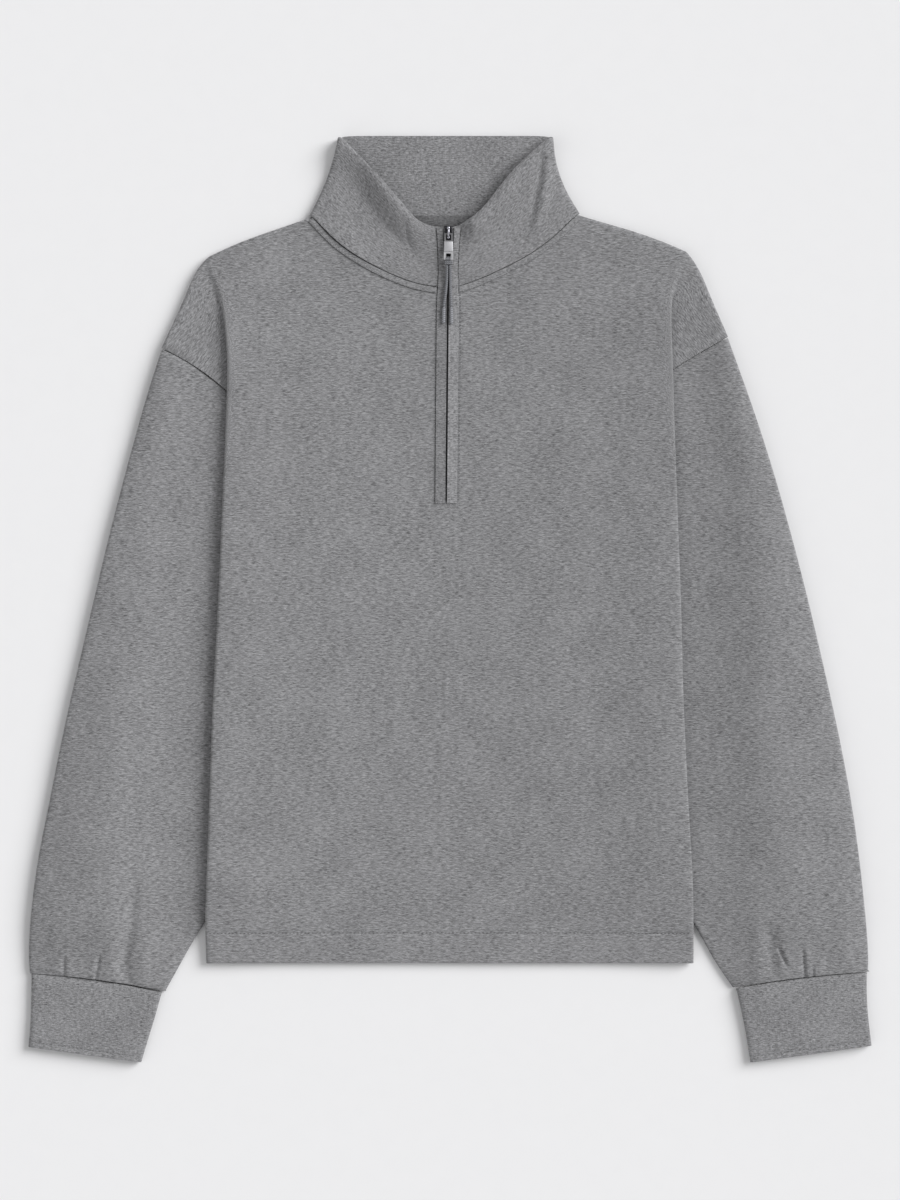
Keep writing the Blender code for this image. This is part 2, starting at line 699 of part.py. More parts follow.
def back_top(half, column):
    """The upper end of a back column: the back neck, then the shoulder."""
    corner_out = half.collar[-1].seam_out - 0.9
    out = BACK_TOP_OUT[column]
    if out < BACK_TOP_OUT[3]:
        out *= corner_out / BACK_TOP_OUT[3]
        return out, back_neck(half, out) - SEAM_GAP - 0.05
    if out == BACK_TOP_OUT[3]:
        return corner_out, half.collar[-1].seam_y - 1.1
    share = (out - BACK_TOP_OUT[3]) / (BACK_TOP_OUT[-1] - BACK_TOP_OUT[3])
    out = mix(half.outline[0][0] + SHOULDER_START, edge_out(half, half.armhole.top_y) - SHOULDER_END, share)
    place = place_at(half.outline, out)
    return tuple(on_curve(half.outline, place) - outward(half.outline, place) * BACK_INSET)


def back_panel():
    cloth = Cloth()
    middle = []
    back_half(cloth, LEFT, middle)
    back_half(cloth, RIGHT, middle)
    return cloth


# Sleeves and cuffs

def tube_ring(ring, outer_height, inner_height, top):
    """A flattened ring of the tube's outside: outer arc, upper side, inner arc, flat underside."""
    outer = np.array((ring.outer_out, ring.outer_y))
    inner = np.array((ring.inner_out, ring.inner_y))
    span = np.hypot(*(inner - outer))
    inwards = (inner - outer) / span
    outer_radius, inner_radius = outer_height / 2, inner_height / 2

    def plan(distance):
        share = distance / span
        point = outer + inwards * distance
        return point[0], point[1] + 4 * ring.bow * share * (1 - share)

    points = []
    for angle in map(math.radians, OUTER_ARC):
        out, y = plan(outer_radius * (1 - math.cos(angle)))
        points.append((out, y, outer_radius * (1 + math.sin(angle))))
    length = span - outer_radius - inner_radius
    for share in TOP_SHARES:
        distance = outer_radius + length * share
        out, y = plan(distance)
        points.append((out, y, top(out, y, distance / span)))
    for angle in map(math.radians, INNER_ARC):
        out, y = plan(span - inner_radius * (1 - math.cos(angle)))
        points.append((out, y, inner_radius * (1 + math.sin(angle))))
    for share in BOTTOM_SHARES:
        out, y = plan(outer_radius + length * share)
        points.append((out, y, 0.0))
    return points


def tube(half, rings):
    """A tube through rings of points, open at both ends."""
    cloth = Cloth()
    made = [cloth.row(turned(half, points)) for points in rings]
    for low, high in zip(made, made[1:]):
        cloth.bridge(low + low[:1], high + high[:1], half.sign < 0)
    return cloth


def sleeve(half):
    rings = []
    for ring in half.rings:
        clear = max(ring.inner_out - edge_out(half, ring.inner_y), HEM_Y - ring.inner_y) - CLEAR_OF_BODY
        inner_height = mix(UNDER_BODY, SLEEVE_EDGE, smooth(clear / RISE_BESIDE_BODY))

        def top(out, y, across, inner_height=inner_height):
            return sleeve_top(half, out, y, across, inner_height)

        rings.append(tube_ring(ring, SLEEVE_EDGE, inner_height, top))
    return tube(half, rings)


def cuff(half):
    rings = [tube_ring(ring, CUFF_HEIGHT - 0.4, CUFF_HEIGHT - 0.4, cuff_top) for ring in half.cuff]
    return tube(half, rings)


def cuff_top(out, y, across):
    return CUFF_HEIGHT - 0.4 * abs(1 - 2 * across) ** 2


# Collar and the strips that lie on the panels

def collar_point(half, column, up):
    """The middle of the collar's wall on one front, up from the neck seam to the rim."""
    seam = half.collar[column]
    out = mix(seam.seam_out, seam.rim_out, up)
    y = mix(seam.seam_y, seam.rim_y, up)
    z = mix(seam.seam_z, seam.rim_z, up)
    if column < 2:
        out = zip_edge(half, y, column)
    bowed = half.side_bow * smooth((column - 3) / (NECK - 3)) * 4 * up * (1 - up)
    return out - bowed, y, z


def collar():
    """A doubled strip from the left zip edge round the neck to the right zip edge."""
    cloth = Cloth()
    rows = []
    for up in COLLAR_UP:
        back_z = DOUBLED / 2
        sides = []
        for half in HALVES:
            front = [collar_point(half, column, up) for column in range(NECK + 1)]
            out, y, z = front[-1]
            radius = (z - back_z) / 2
            arc = round_under((out, y), COLLAR_SIDE, z - radius, radius, SIDE_TURN)
            sides.append(turned(half, front + arc))
        left_end, right_end = sides[0][NECK][0], sides[1][NECK][0]
        back = []
        for x in np.linspace(left_end, right_end, 7):
            back.append((x, mix(back_neck(LEFT if x < 0 else RIGHT, abs(x)), COLLAR_TOP_Y, up), back_z))
        rows.append(cloth.row(sides[0] + back + sides[1][::-1]))
    for low, high in zip(rows, rows[1:]):
        cloth.bridge(low, high)
    return cloth


def neck_strip(half):
    """The topstitched strip under the collar seam, from the front's own two top rows."""
    cloth = Cloth()
    last_row = len(ROWS) + len(ZIP_ROWS) - 1
    raise_by = HALF + SEAM_GAP + STRIP_WALL / 2
    rows = []
    for row in (last_row - 1, last_row):
        points = [front_point(half, row, column) for column in range(1, NECK + 1)]
        points[0] = (points[0][0] + SEAM_ROOM, points[0][1], points[0][2])
        points = [(out, y - SEAM_GAP, z) for out, y, z in points]
        rows.append(cloth.row(turned(half, [(out, y, z + raise_by) for out, y, z in points])))
    cloth.bridge(rows[0], rows[1], half.sign > 0)
    return cloth


def placket_inner(y):
    """The strips part round the slider."""
    return between(((262.0, 1.1), (283.0, 1.6), (289.0, 4.3), (300.0, 4.3), (304.0, 4.9)), y)


def placket_strip(half):
    """The strip beside the zip: up the front and the collar, on the upper side of both."""
    cloth = Cloth()
    rows = []
    for y in PLACKET_YS:
        z = zip_top(y) + STRIP_GAP + STRIP_WALL / 2
        inner = half.sign * zip_x(y) + placket_inner(y)
        outer = zip_edge(half, y, 1) - 0.3
        shares = (0.0, 0.5, 1.0)
        rows.append(cloth.row(turned(half, [(mix(inner, outer, share), y, z) for share in shares])))
    for low, high in zip(rows, rows[1:]):
        cloth.bridge(low, high, half.sign > 0)
    return cloth


# Zip

def zip_tape(half):
    """One tape, under the cloth beside the slit."""
    cloth = Cloth()
    rows = []
    for y in TAPE_YS:
        wall = mix(HALF, DOUBLED / 2, smooth((y - 243.0) / 8.0))
        z = zip_height(y) - wall - STRIP_GAP - TAPE_WALL / 2
        middle = half.sign * zip_x(y)
        rows.append(cloth.row(turned(half, [(middle + 1.2, y, z), (middle + 8.0, y, z)])))
    for low, high in zip(rows, rows[1:]):
        cloth.bridge(low, high, half.sign > 0)
    return cloth


def zip_chain():
    """The closed chain in the slit, as one bar of its outer size."""
    cloth = Cloth()
    rows = []
    for y in CHAIN_YS:
        x, z = zip_x(y), zip_height(y)
        rows.append(cloth.row([(x - CHAIN_WIDTH / 2, y, z), (x + CHAIN_WIDTH / 2, y, z)]))
    for low, high in zip(rows, rows[1:]):
        cloth.bridge(low, high)
    return cloth


def outline_mesh(outlines, depth):
    """A flat outline with holes, made as deep as the piece is thick, in millimetres."""
    curve = bpy.data.curves.new("outline", "CURVE")
    curve.dimensions = "2D"
    curve.fill_mode = "BOTH"
    curve.extrude = depth / 2
    for outline in outlines:
        spline = curve.splines.new("POLY")
        spline.points.add(len(outline) - 1)
        for point, (x, y) in zip(spline.points, outline):
            point.co = (x, y, 0, 1)
        spline.use_cyclic_u = True
    guide = bpy.data.objects.new("outline", curve)
    bpy.context.scene.collection.objects.link(guide)
    graph = bpy.context.evaluated_depsgraph_get()
    mesh = bpy.data.meshes.new_from_object(guide.evaluated_get(graph))
    bpy.data.objects.remove(guide)
    bpy.data.curves.remove(curve)
    work = bmesh.new()
    work.from_mesh(mesh)
    bmesh.ops.remove_doubles(work, verts=work.verts, dist=0.001)
    bmesh.ops.recalc_face_normals(work, faces=work.faces)
    work.to_mesh(mesh)
    work.free()
    return mesh


def rounded(x0, y0, x1, y1, radius, steps=3):
    """A rectangle with round corners, anticlockwise."""
    corners = ((x1 - radius, y1 - radius, 0), (x0 + radius, y1 - radius, 90),
               (x0 + radius, y0 + radius, 180), (x1 - radius, y0 + radius, 270))
    points = []
    for x, y, start in corners:
        for step in range(steps + 1):
            angle = math.radians(start + 90 * step / steps)
            points.append((x + radius * math.cos(angle), y + radius * math.sin(angle)))
    return points


def circle(radius, count):
    """A round outline, anticlockwise."""
    angles = np.linspace(0, 2 * math.pi, count, endpoint=False)
    return [(radius * math.cos(angle), radius * math.sin(angle)) for angle in angles]


def placed(mesh, frame):
    """The mesh moved by a function of its points, from millimetres to metres."""
    for vertex in mesh.vertices:
        vertex.co = [value * MM for value in frame(*vertex.co)]
    mesh.update()
    return mesh


def slope_frame(y, z, tilt):
    """A plane tilted about X: its own x, along and up, with its origin at (0, y, z)."""
    cos, sin = math.cos(tilt), math.sin(tilt)
    return lambda x, along, up: (x, y + along * cos - up * sin, z + along * sin + up * cos)


def slider_frame():
    """The top plate's upper side, at the pivot."""
    return slope_frame(PIVOT_Y, zip_height(PIVOT_Y) + DOUBLED / 2 + STRIP_GAP + PLATE, SLIDER_TILT)


def union(obj, others):
    for number, other in enumerate(others):
        modifier = obj.modifiers.new(f"join {number}", "BOOLEAN")
        modifier.operation = "UNION"
        modifier.object = other
        other.hide_render = True
        other.display_type = "WIRE"


def upright(mesh):
    """Turns an outline drawn in x and y so that its y is up and its depth runs across."""
    for vertex in mesh.vertices:
        x, y, z = vertex.co
        vertex.co = (z, x, y)
    mesh.update()
    return mesh


def slider(finish, collection, cutters):
    """Top and back plates, the web between them, and the bridge that holds the pull tab."""
    frame = slider_frame()
    top = SLIDER_TOP_Y - PIVOT_Y
    low = top - SLIDER_LENGTH
    half_width = SLIDER_WIDTH / 2
    shield = [(-2.7, top), (-half_width, top - 3.4), (-half_width, low + 1.0), (-half_width + 1.0, low),
              (half_width - 1.0, low), (half_width, low + 1.0), (half_width, top - 3.4), (2.7, top)]

    def lifted(outline, depth, up):
        mesh = outline_mesh([outline], depth)
        return placed(mesh, lambda x, y, z: frame(x + SLIDER_X, y, z + up))

    plate = add_object("zip_slider", lifted(shield, PLATE, -PLATE / 2), finish, collection)
    web_depth = PLATE + 2 * SEAM_GAP + DOUBLED + TAPE_WALL
    back = add_object("back plate", lifted(shield, BACK_PLATE, -web_depth - BACK_DROP), finish, cutters)
    web = rounded(-0.8, low + 4.0, 0.8, top - 1.0, 0.5)
    middle = add_object("web", lifted(web, web_depth, -web_depth / 2 - WEB_RISE), finish, cutters)
    foot_low, foot_high = (value - PIVOT_Y for value in BRIDGE_FEET)
    arch_mesh = upright(outline_mesh([bridge_outline(foot_low, foot_high)], BRIDGE_WIDTH))
    arch = add_object("bridge", placed(arch_mesh, lambda x, y, z: frame(x + SLIDER_X, y, z)), finish, cutters)
    union(plate, (middle, back, arch))
    return plate


def bridge_outline(foot_low, foot_high):
    """The bridge from the side: an arch over the pull tab's bar, sunk into the plate at its feet."""
    outer = [(foot_low - 1.6, -0.5), (foot_low - 1.5, 1.2), (foot_low - 0.6, 2.5), (foot_low + 1.2, 2.9),
             (foot_high - 1.4, 2.9), (foot_high + 0.2, 2.4), (foot_high + 0.8, 1.2), (foot_high + 0.9, -0.5)]
    inner = [(foot_high - 0.3, -0.5), (foot_high - 0.4, 1.1), (foot_high - 1.2, 1.8),
             (foot_low + 0.9, 1.8), (foot_low + 0.2, 1.1), (foot_low + 0.1, -0.5)]
    return (outer + inner)[::-1]


def pull_frame():
    """The pull tab's plane, from the pivot down to the bar that the cord wraps."""
    pivot_z = slider_frame()(0, 0, PIVOT_ABOVE_PLATE)[2]
    bar_z = zip_top(BAR_Y) + BAR_RISE
    return slope_frame(PIVOT_Y, pivot_z, math.atan2(pivot_z - bar_z, PIVOT_Y - BAR_Y))


def pull_tab(finish, collection):
    """The tab: a ring round the slider's bridge, the plate, and the eye for the cord."""
    low = BAR_Y - PIVOT_Y
    body = [(-3.0, 0.55), (-3.5, 0.0), (-3.5, -5.0), (-3.6, -14.4), (-3.85, -15.2), (-3.85, low - 0.1),
            (-3.4, low - 0.6), (3.4, low - 0.6), (3.85, low - 0.1), (3.85, -15.2), (3.6, -14.4),
            (3.5, -5.0), (3.5, 0.0), (3.0, 0.55)]
    ring = rounded(-2.1, -5.4, 2.1, -0.55, 0.6)[::-1]
    eye = rounded(-2.3, low + 0.6, 2.3, -16.2, 0.7)[::-1]
    mesh = outline_mesh([body, ring, eye], PULL_WALL)
    frame = pull_frame()
    return add_object("zip_pull", placed(mesh, lambda x, y, z: frame(x + SLIDER_X, y, z)), finish, collection)


def pull_loop(finish, collection, cutters):
    """The cord's loop round the tab's bar, and the bound knot below it that the strands leave."""
    frame = pull_frame()
    low = BAR_Y - PIVOT_Y
    inside = circle(LOOP_INSIDE, 12)[::-1]
    ring = upright(outline_mesh([circle(LOOP_OUTSIDE, 16), inside], LOOP_WIDTH))

    def below(x, y, z):
        return frame(x + SLIDER_X, y + low, z)

    loop = add_object("pull_loop", placed(ring, below), finish, collection)
    knot_side = rounded(-KNOT_FOOT, -KNOT_HALF, -1.4, KNOT_HALF, 0.6)
    knot = upright(outline_mesh([knot_side], KNOT_WIDTH))
    bound = add_object("knot", placed(knot, below), finish, cutters)
    union(loop, (bound,))
    return loop


def strand_start():
    """The height of the knot's lower face, where both strands leave it."""
    return pull_frame()(0, BAR_Y - PIVOT_Y - KNOT_FOOT - 2.5 * SEAM_GAP, -0.2)


def strand_route(strand):
    """Out of the knot, down to the strips and along them, a tenth of a millimetre above."""
    _, start_y, start_z = strand_start()
    route = [(strand.start_x, start_y, start_z)]
    for x, y in strand.points:
        lying = zip_top(y + 3) + 2.2 * SEAM_GAP + STRIP_WALL + CORD / 2
        share = smooth((start_y - y) / 9.0)
        route.append((x, y, mix(start_z, lying, share)))
    return route


def tube_object(name, route, diameter, finish, collection, resolution=2):
    curve = bpy.data.curves.new(name, "CURVE")
    curve.dimensions = "3D"
    curve.bevel_depth = diameter / 2 * MM
    curve.bevel_resolution = resolution
    curve.use_fill_caps = True
    spline = curve.splines.new("POLY")
    spline.points.add(len(route) - 1)
    for point, place in zip(spline.points, route):
        point.co = (*(value * MM for value in place), 1)
    obj = bpy.data.objects.new(name, curve)
    obj.data.materials.append(finish)
    collection.objects.link(obj)
    return obj


def smooth_route(points, spacing):
    """Points read from the smooth curve through a route's own points."""
    points = np.asarray(points, float)
    length = np.linalg.norm(np.diff(points, axis=0), axis=1).sum()
    count = max(int(round(length / spacing)), 2)
    return [tuple(on_curve(points, place)) for place in np.linspace(0, len(points) - 1, count + 1)]


def add_strands(cord_finish, collection):
    for strand in STRANDS:
        route = smooth_route(strand_route(strand), 2.2 * CORD)
        tube_object(f"cord_{strand.name}", route, CORD, cord_finish, collection)
        tip = []
        for x, y in strand.tip:
            tip.append((x, y, zip_top(y) + 2.4 * SEAM_GAP + STRIP_WALL + TIP / 2))
        tube_object(f"cord_tip_{strand.name}", tip, TIP, cord_finish, collection)


# Scene

def clear_scene():
    for obj in list(bpy.data.objects):
        bpy.data.objects.remove(obj)
    for collection in list(bpy.data.collections):
        bpy.data.collections.remove(collection)


def main():
    clear_scene()
    garment = bpy.data.collections.new("Half-zip sweatshirt")
    cutters = bpy.data.collections.new("Joined pieces")
    bpy.context.scene.collection.children.link(garment)
    bpy.context.scene.collection.children.link(cutters)
    cutters.hide_render = True
    jersey = material("grey jersey", (0.24, 0.24, 0.245), 0.9)
    tape = material("zip tape", (0.05, 0.05, 0.055), 0.8)
    chain = material("zip chain", (0.06, 0.06, 0.06), 0.4, 1.0)
    gunmetal = material("gunmetal", (0.08, 0.08, 0.08), 0.3, 1.0)
    silver = material("matt silver", (0.48, 0.48, 0.49), 0.5, 1.0)
    cord = material("grey cord", (0.2, 0.2, 0.21), 0.8)
    add_cloth("front", front_panel(), CLOTH, 0, jersey, garment)
    add_cloth("back", back_panel(), CLOTH, 0, jersey, garment)
    add_cloth("collar", collar(), DOUBLED, 0, jersey, garment)
    for half in HALVES:
        add_cloth(f"sleeve_{half.name}", sleeve(half), CLOTH, -1, jersey, garment)
        add_cloth(f"cuff_{half.name}", cuff(half), CUFF_WALL, -1, jersey, garment)
        add_cloth(f"neck_strip_{half.name}", neck_strip(half), STRIP_WALL, 0, jersey, garment)
        add_cloth(f"zip_strip_{half.name}", placket_strip(half), STRIP_WALL, 0, jersey, garment)
        add_cloth(f"zip_tape_{half.name}", zip_tape(half), TAPE_WALL, 0, tape, garment)
    add_cloth("zip_chain", zip_chain(), CHAIN_HEIGHT, 0, chain, garment)
    slider(gunmetal, garment, cutters)
    pull_tab(silver, garment)
    pull_loop(cord, garment, cutters)
    add_strands(cord, garment)


main()
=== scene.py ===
"""Half-zip sweatshirt laid flat: the looks of each piece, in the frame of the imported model.

The tables are in millimetres, as on a pattern, and each finished mesh is in metres. On each half of the
garment, "out" is the distance from its middle line. Every cloth panel starts as a coarse cage in its
wall's middle, which is smoothed, shaped by the folds of its cloth, and then given its thickness.
"""

import json
import math
from collections import namedtuple

import bmesh
import bpy
import numpy as np
from bpy.props import FloatProperty, FloatVectorProperty, PointerProperty
from mathutils import Vector, noise
from mathutils.bvhtree import BVHTree
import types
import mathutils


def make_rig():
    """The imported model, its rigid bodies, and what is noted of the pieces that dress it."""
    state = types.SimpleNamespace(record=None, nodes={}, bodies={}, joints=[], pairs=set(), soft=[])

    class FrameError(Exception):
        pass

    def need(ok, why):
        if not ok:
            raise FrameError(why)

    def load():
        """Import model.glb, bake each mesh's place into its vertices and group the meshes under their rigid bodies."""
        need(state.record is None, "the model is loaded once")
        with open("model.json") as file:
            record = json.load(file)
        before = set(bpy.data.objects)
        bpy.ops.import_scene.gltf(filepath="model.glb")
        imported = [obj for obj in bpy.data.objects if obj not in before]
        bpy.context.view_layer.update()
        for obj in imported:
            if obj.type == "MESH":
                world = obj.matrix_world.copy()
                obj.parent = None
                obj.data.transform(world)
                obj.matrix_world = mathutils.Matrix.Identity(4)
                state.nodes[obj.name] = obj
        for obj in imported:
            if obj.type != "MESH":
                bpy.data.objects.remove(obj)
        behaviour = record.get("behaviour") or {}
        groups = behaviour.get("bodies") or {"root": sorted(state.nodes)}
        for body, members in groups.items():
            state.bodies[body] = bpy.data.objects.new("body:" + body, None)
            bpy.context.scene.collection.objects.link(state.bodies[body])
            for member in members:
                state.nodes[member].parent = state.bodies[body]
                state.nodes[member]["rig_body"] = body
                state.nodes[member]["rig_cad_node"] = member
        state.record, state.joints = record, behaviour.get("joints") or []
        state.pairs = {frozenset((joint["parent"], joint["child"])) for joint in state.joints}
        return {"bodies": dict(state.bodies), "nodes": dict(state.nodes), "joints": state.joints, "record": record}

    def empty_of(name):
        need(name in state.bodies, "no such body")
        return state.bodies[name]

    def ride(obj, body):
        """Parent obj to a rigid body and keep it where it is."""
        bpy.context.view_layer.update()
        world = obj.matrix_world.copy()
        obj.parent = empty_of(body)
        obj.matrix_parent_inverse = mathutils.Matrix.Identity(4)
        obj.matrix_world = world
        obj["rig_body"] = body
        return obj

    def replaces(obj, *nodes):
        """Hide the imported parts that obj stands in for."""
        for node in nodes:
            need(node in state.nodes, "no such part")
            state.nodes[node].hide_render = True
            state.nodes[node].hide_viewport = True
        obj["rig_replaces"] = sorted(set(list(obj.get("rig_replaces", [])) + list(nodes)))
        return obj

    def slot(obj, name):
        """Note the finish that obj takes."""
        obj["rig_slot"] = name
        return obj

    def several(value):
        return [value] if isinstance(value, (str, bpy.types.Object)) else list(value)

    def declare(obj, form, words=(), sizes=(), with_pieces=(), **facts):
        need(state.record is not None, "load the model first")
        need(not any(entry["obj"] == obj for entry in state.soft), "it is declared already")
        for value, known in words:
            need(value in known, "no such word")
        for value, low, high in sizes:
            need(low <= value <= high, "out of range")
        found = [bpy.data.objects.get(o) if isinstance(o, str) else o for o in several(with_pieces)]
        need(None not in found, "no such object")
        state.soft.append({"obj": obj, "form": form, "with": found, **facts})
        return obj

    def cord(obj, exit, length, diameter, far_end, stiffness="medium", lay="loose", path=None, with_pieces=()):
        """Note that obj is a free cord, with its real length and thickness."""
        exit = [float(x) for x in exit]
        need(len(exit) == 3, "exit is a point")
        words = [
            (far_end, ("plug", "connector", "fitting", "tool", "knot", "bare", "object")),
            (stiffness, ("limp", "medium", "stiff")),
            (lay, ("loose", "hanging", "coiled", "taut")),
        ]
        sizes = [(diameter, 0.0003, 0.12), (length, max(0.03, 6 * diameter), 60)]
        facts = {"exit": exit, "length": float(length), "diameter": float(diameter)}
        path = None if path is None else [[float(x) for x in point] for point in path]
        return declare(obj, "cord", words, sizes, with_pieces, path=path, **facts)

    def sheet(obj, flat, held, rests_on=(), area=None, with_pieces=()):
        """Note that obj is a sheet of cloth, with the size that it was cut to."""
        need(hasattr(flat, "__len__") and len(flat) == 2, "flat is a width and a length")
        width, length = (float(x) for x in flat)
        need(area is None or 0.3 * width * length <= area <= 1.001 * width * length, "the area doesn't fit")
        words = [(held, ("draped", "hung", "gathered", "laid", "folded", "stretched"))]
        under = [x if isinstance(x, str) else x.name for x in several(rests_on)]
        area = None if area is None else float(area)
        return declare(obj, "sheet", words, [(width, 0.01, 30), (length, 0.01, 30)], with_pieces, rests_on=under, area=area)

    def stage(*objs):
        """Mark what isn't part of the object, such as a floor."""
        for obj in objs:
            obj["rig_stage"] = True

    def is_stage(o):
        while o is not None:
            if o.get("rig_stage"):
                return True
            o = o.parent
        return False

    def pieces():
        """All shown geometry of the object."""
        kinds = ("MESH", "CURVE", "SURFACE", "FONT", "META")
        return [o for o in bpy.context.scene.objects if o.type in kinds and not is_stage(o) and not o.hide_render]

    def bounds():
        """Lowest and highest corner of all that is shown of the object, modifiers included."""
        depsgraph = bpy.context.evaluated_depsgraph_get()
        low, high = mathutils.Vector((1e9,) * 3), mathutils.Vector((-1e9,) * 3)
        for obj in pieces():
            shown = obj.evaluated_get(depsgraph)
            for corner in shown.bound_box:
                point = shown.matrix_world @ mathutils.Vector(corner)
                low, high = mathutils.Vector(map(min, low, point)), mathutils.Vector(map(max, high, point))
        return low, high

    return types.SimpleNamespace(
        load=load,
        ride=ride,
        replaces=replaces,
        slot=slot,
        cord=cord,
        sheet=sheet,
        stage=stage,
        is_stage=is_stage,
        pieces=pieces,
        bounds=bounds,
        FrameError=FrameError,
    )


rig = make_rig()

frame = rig.load()
CAD_BOX = [list(corner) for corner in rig.bounds()]

bl_info = {
    "name": "Half-zip sweatshirt",
    "version": (1, 0, 0),
    "blender": (4, 5, 0),
    "location": "View3D > Sidebar > Sweatshirt",
    "description": "Builds a half-zip jersey sweatshirt laid flat, piece by piece",
    "category": "Add Mesh",
}

CAMERA_HEIGHT = 3.0
PICTURE_HEIGHT = 0.984
# The soft lights: strength, spread in degrees and the direction that each comes from.
LIGHTS = (
    ("window light", 3.05, 38, (0.738, 0.403, 0.545)),
    ("bounced light", 0.6, 70, (-0.75, -0.45, 0.48)),
)
ROOM_LIGHT = 0.41

# Sizes in millimetres; MM turns them into metres.

MM = 0.001
# Walls, the gap at a seam, the room beside it, and the air under a strip.
CLOTH = 1.8
HALF = CLOTH / 2
DOUBLED = 3.4
CUFF_WALL = 3.0
STRIP_WALL = 0.9
TAPE_WALL = 0.6
SEAM_GAP = 0.3
SEAM_ROOM = SEAM_GAP + 0.2
STRIP_GAP = SEAM_GAP + 0.05
# Heights of the layers' middles, and how the sleeves under the body raise them.
BACK_LOW = HALF
BACK_LIFT = 4.5
FRONT_LOW = 4.3
FRONT_LIFT = 3.6
EDGE_MID = 4.7
EDGE_RADIUS = (EDGE_MID - BACK_LOW) / 2
SLEEVE_CROWN = 8.2
SLEEVE_EDGE = 5.6
UNDER_BODY = 4.0
CUFF_HEIGHT = 7.0
CLEAR_OF_BODY = 9.0
RISE_BESIDE_BODY = 75.0
RAMP_BACK = 30.0
RAMP_FRONT = 110.0
# The body's hem, its columns at the neck's end and at the side, and the collar.
HEM_Y = -298.0
NECK = 8
LAST = 11
NECK_STRIP = 4.6
NECK_RISE = 32.0
NECK_Z = 4.9
BACK_NECK_Y = 313.9
COLLAR_TOP_Y = 379.3
COLLAR_STARTS = 248.5
COLLAR_BLEND = 5.5
RIM_Y = 303.6
RIM_Z = 8.6
# The zip.
ZIP_FOOT_Y = 78.0
ZIP_FOOT_X = -3.2
ZIP_TOP_Y = 304.0
SLIT = 1.4
CHAIN_FOOT_Y = 80.0
CHAIN_TOP_Y = 291.2
TOOTH = (1.5, 0.5, 1.3)
# The slider, its tab and the cord puller with its knot.
SLIDER_X = -1.2
SLIDER_TOP_Y = 304.6
SLIDER_LENGTH = 12.4
SLIDER_WIDTH = 7.6
PLATE = 1.6
PIVOT_Y = 298.2
PIVOT_ABOVE_PLATE = 0.9
PULL_WALL = 1.1
RING_LENGTH = 6.3
TAB_PLATE = (7.1, 8.2, 1.1)
TAB_PLATE_ALONG = -10.5
BAR_Y = 277.4
BAR_RISE = 5.2
KNOT_FOOT = 4.3
CORD = 2.3
TIP = 2.8
# From this angle on, an edge is rounded.
SHARP_EDGE = math.radians(50)
# Stitch rows, by their distance from the edge that each one follows.
HEM_STITCHES = 24.6
CUFF_STITCHES = 4.6
NECK_STITCHES = 3.4

Half = namedtuple("Half", "name sign edge outline collar armhole rings side_bow cuff")
Seam = namedtuple("Seam", "seam_out seam_y seam_z rim_out rim_y rim_z")
Ring = namedtuple("Ring", "outer_out outer_y inner_out inner_y bow")
Fold = namedtuple("Fold", "along outer upper angle tucked back_rise")
Row = namedtuple("Row", "middle_y edge_y")
Armhole = namedtuple("Armhole", "edge_y top_y bow tuck drop")

# The body's rows from the hem up: heights at the middle and at the side edge, below the armhole. The three
# close rows carry the stitched groove of the hem.
ROWS = (
    Row(-298.0, -298.0),
    Row(-290.0, -290.0),
    Row(-276.6, -276.6),
    Row(-273.4, -273.4),
    Row(-270.2, -270.2),
    Row(-262.0, -262.0),
    Row(-243.0, -243.0),
    Row(-218.0, -216.0),
    Row(-192.0, -188.0),
    Row(-165.0, -160.0),
    Row(-137.0, -130.0),
    Row(-108.0, -100.0),
    Row(-80.0, -70.0),
    Row(-50.0, -40.0),
    Row(-20.0, -10.0),
    Row(10.0, 20.0),
    Row(33.0, 48.0),
    Row(55.0, 75.0),
)
# From the zip's foot up: heights at the middle, and the share of the way from armhole to shoulder.
ZIP_ROWS = (78.0, 112.0, 127.0, 142.0, 156.0, 170.0, 198.0, 211.0, 224.0, 250.5, 255.5)

# The pleat beside the armhole, from the shoulder corner down to the armhole seam: how far along the
# body's edge and along the outline each row ends, the upper layer's height, the angle that the cloth
# turns, the share of the tuck and of its drop, and the back panel's rise.
FOLDS = (
    Fold(0.00, 0.00, 4.9, 6.0, 0.0, 0.00),
    Fold(0.07, 0.06, 5.1, 9.0, 0.0, 0.00),
    Fold(0.16, 0.17, 5.5, 22.0, 0.0, 0.00),
    Fold(0.27, 0.31, 6.2, 52.0, 0.0, 0.02),
    Fold(0.40, 0.46, 7.0, 105.0, 0.0, 0.06),
    Fold(0.56, 0.63, 7.6, 160.0, 0.2, 0.16),
    Fold(0.72, 0.78, 7.9, 178.0, 0.52, 0.40),
    Fold(0.86, 0.89, 7.9, 180.0, 0.79, 0.70),
    Fold(0.965, 0.975, 7.9, 180.0, 0.94, 0.93),
    Fold(1.00, 1.00, 7.9, 180.0, 1.0, 1.00),
)
LAST_ROW = len(ROWS) + len(ZIP_ROWS) - 1
ARMHOLE_ROW = LAST_ROW + 1 - len(FOLDS)

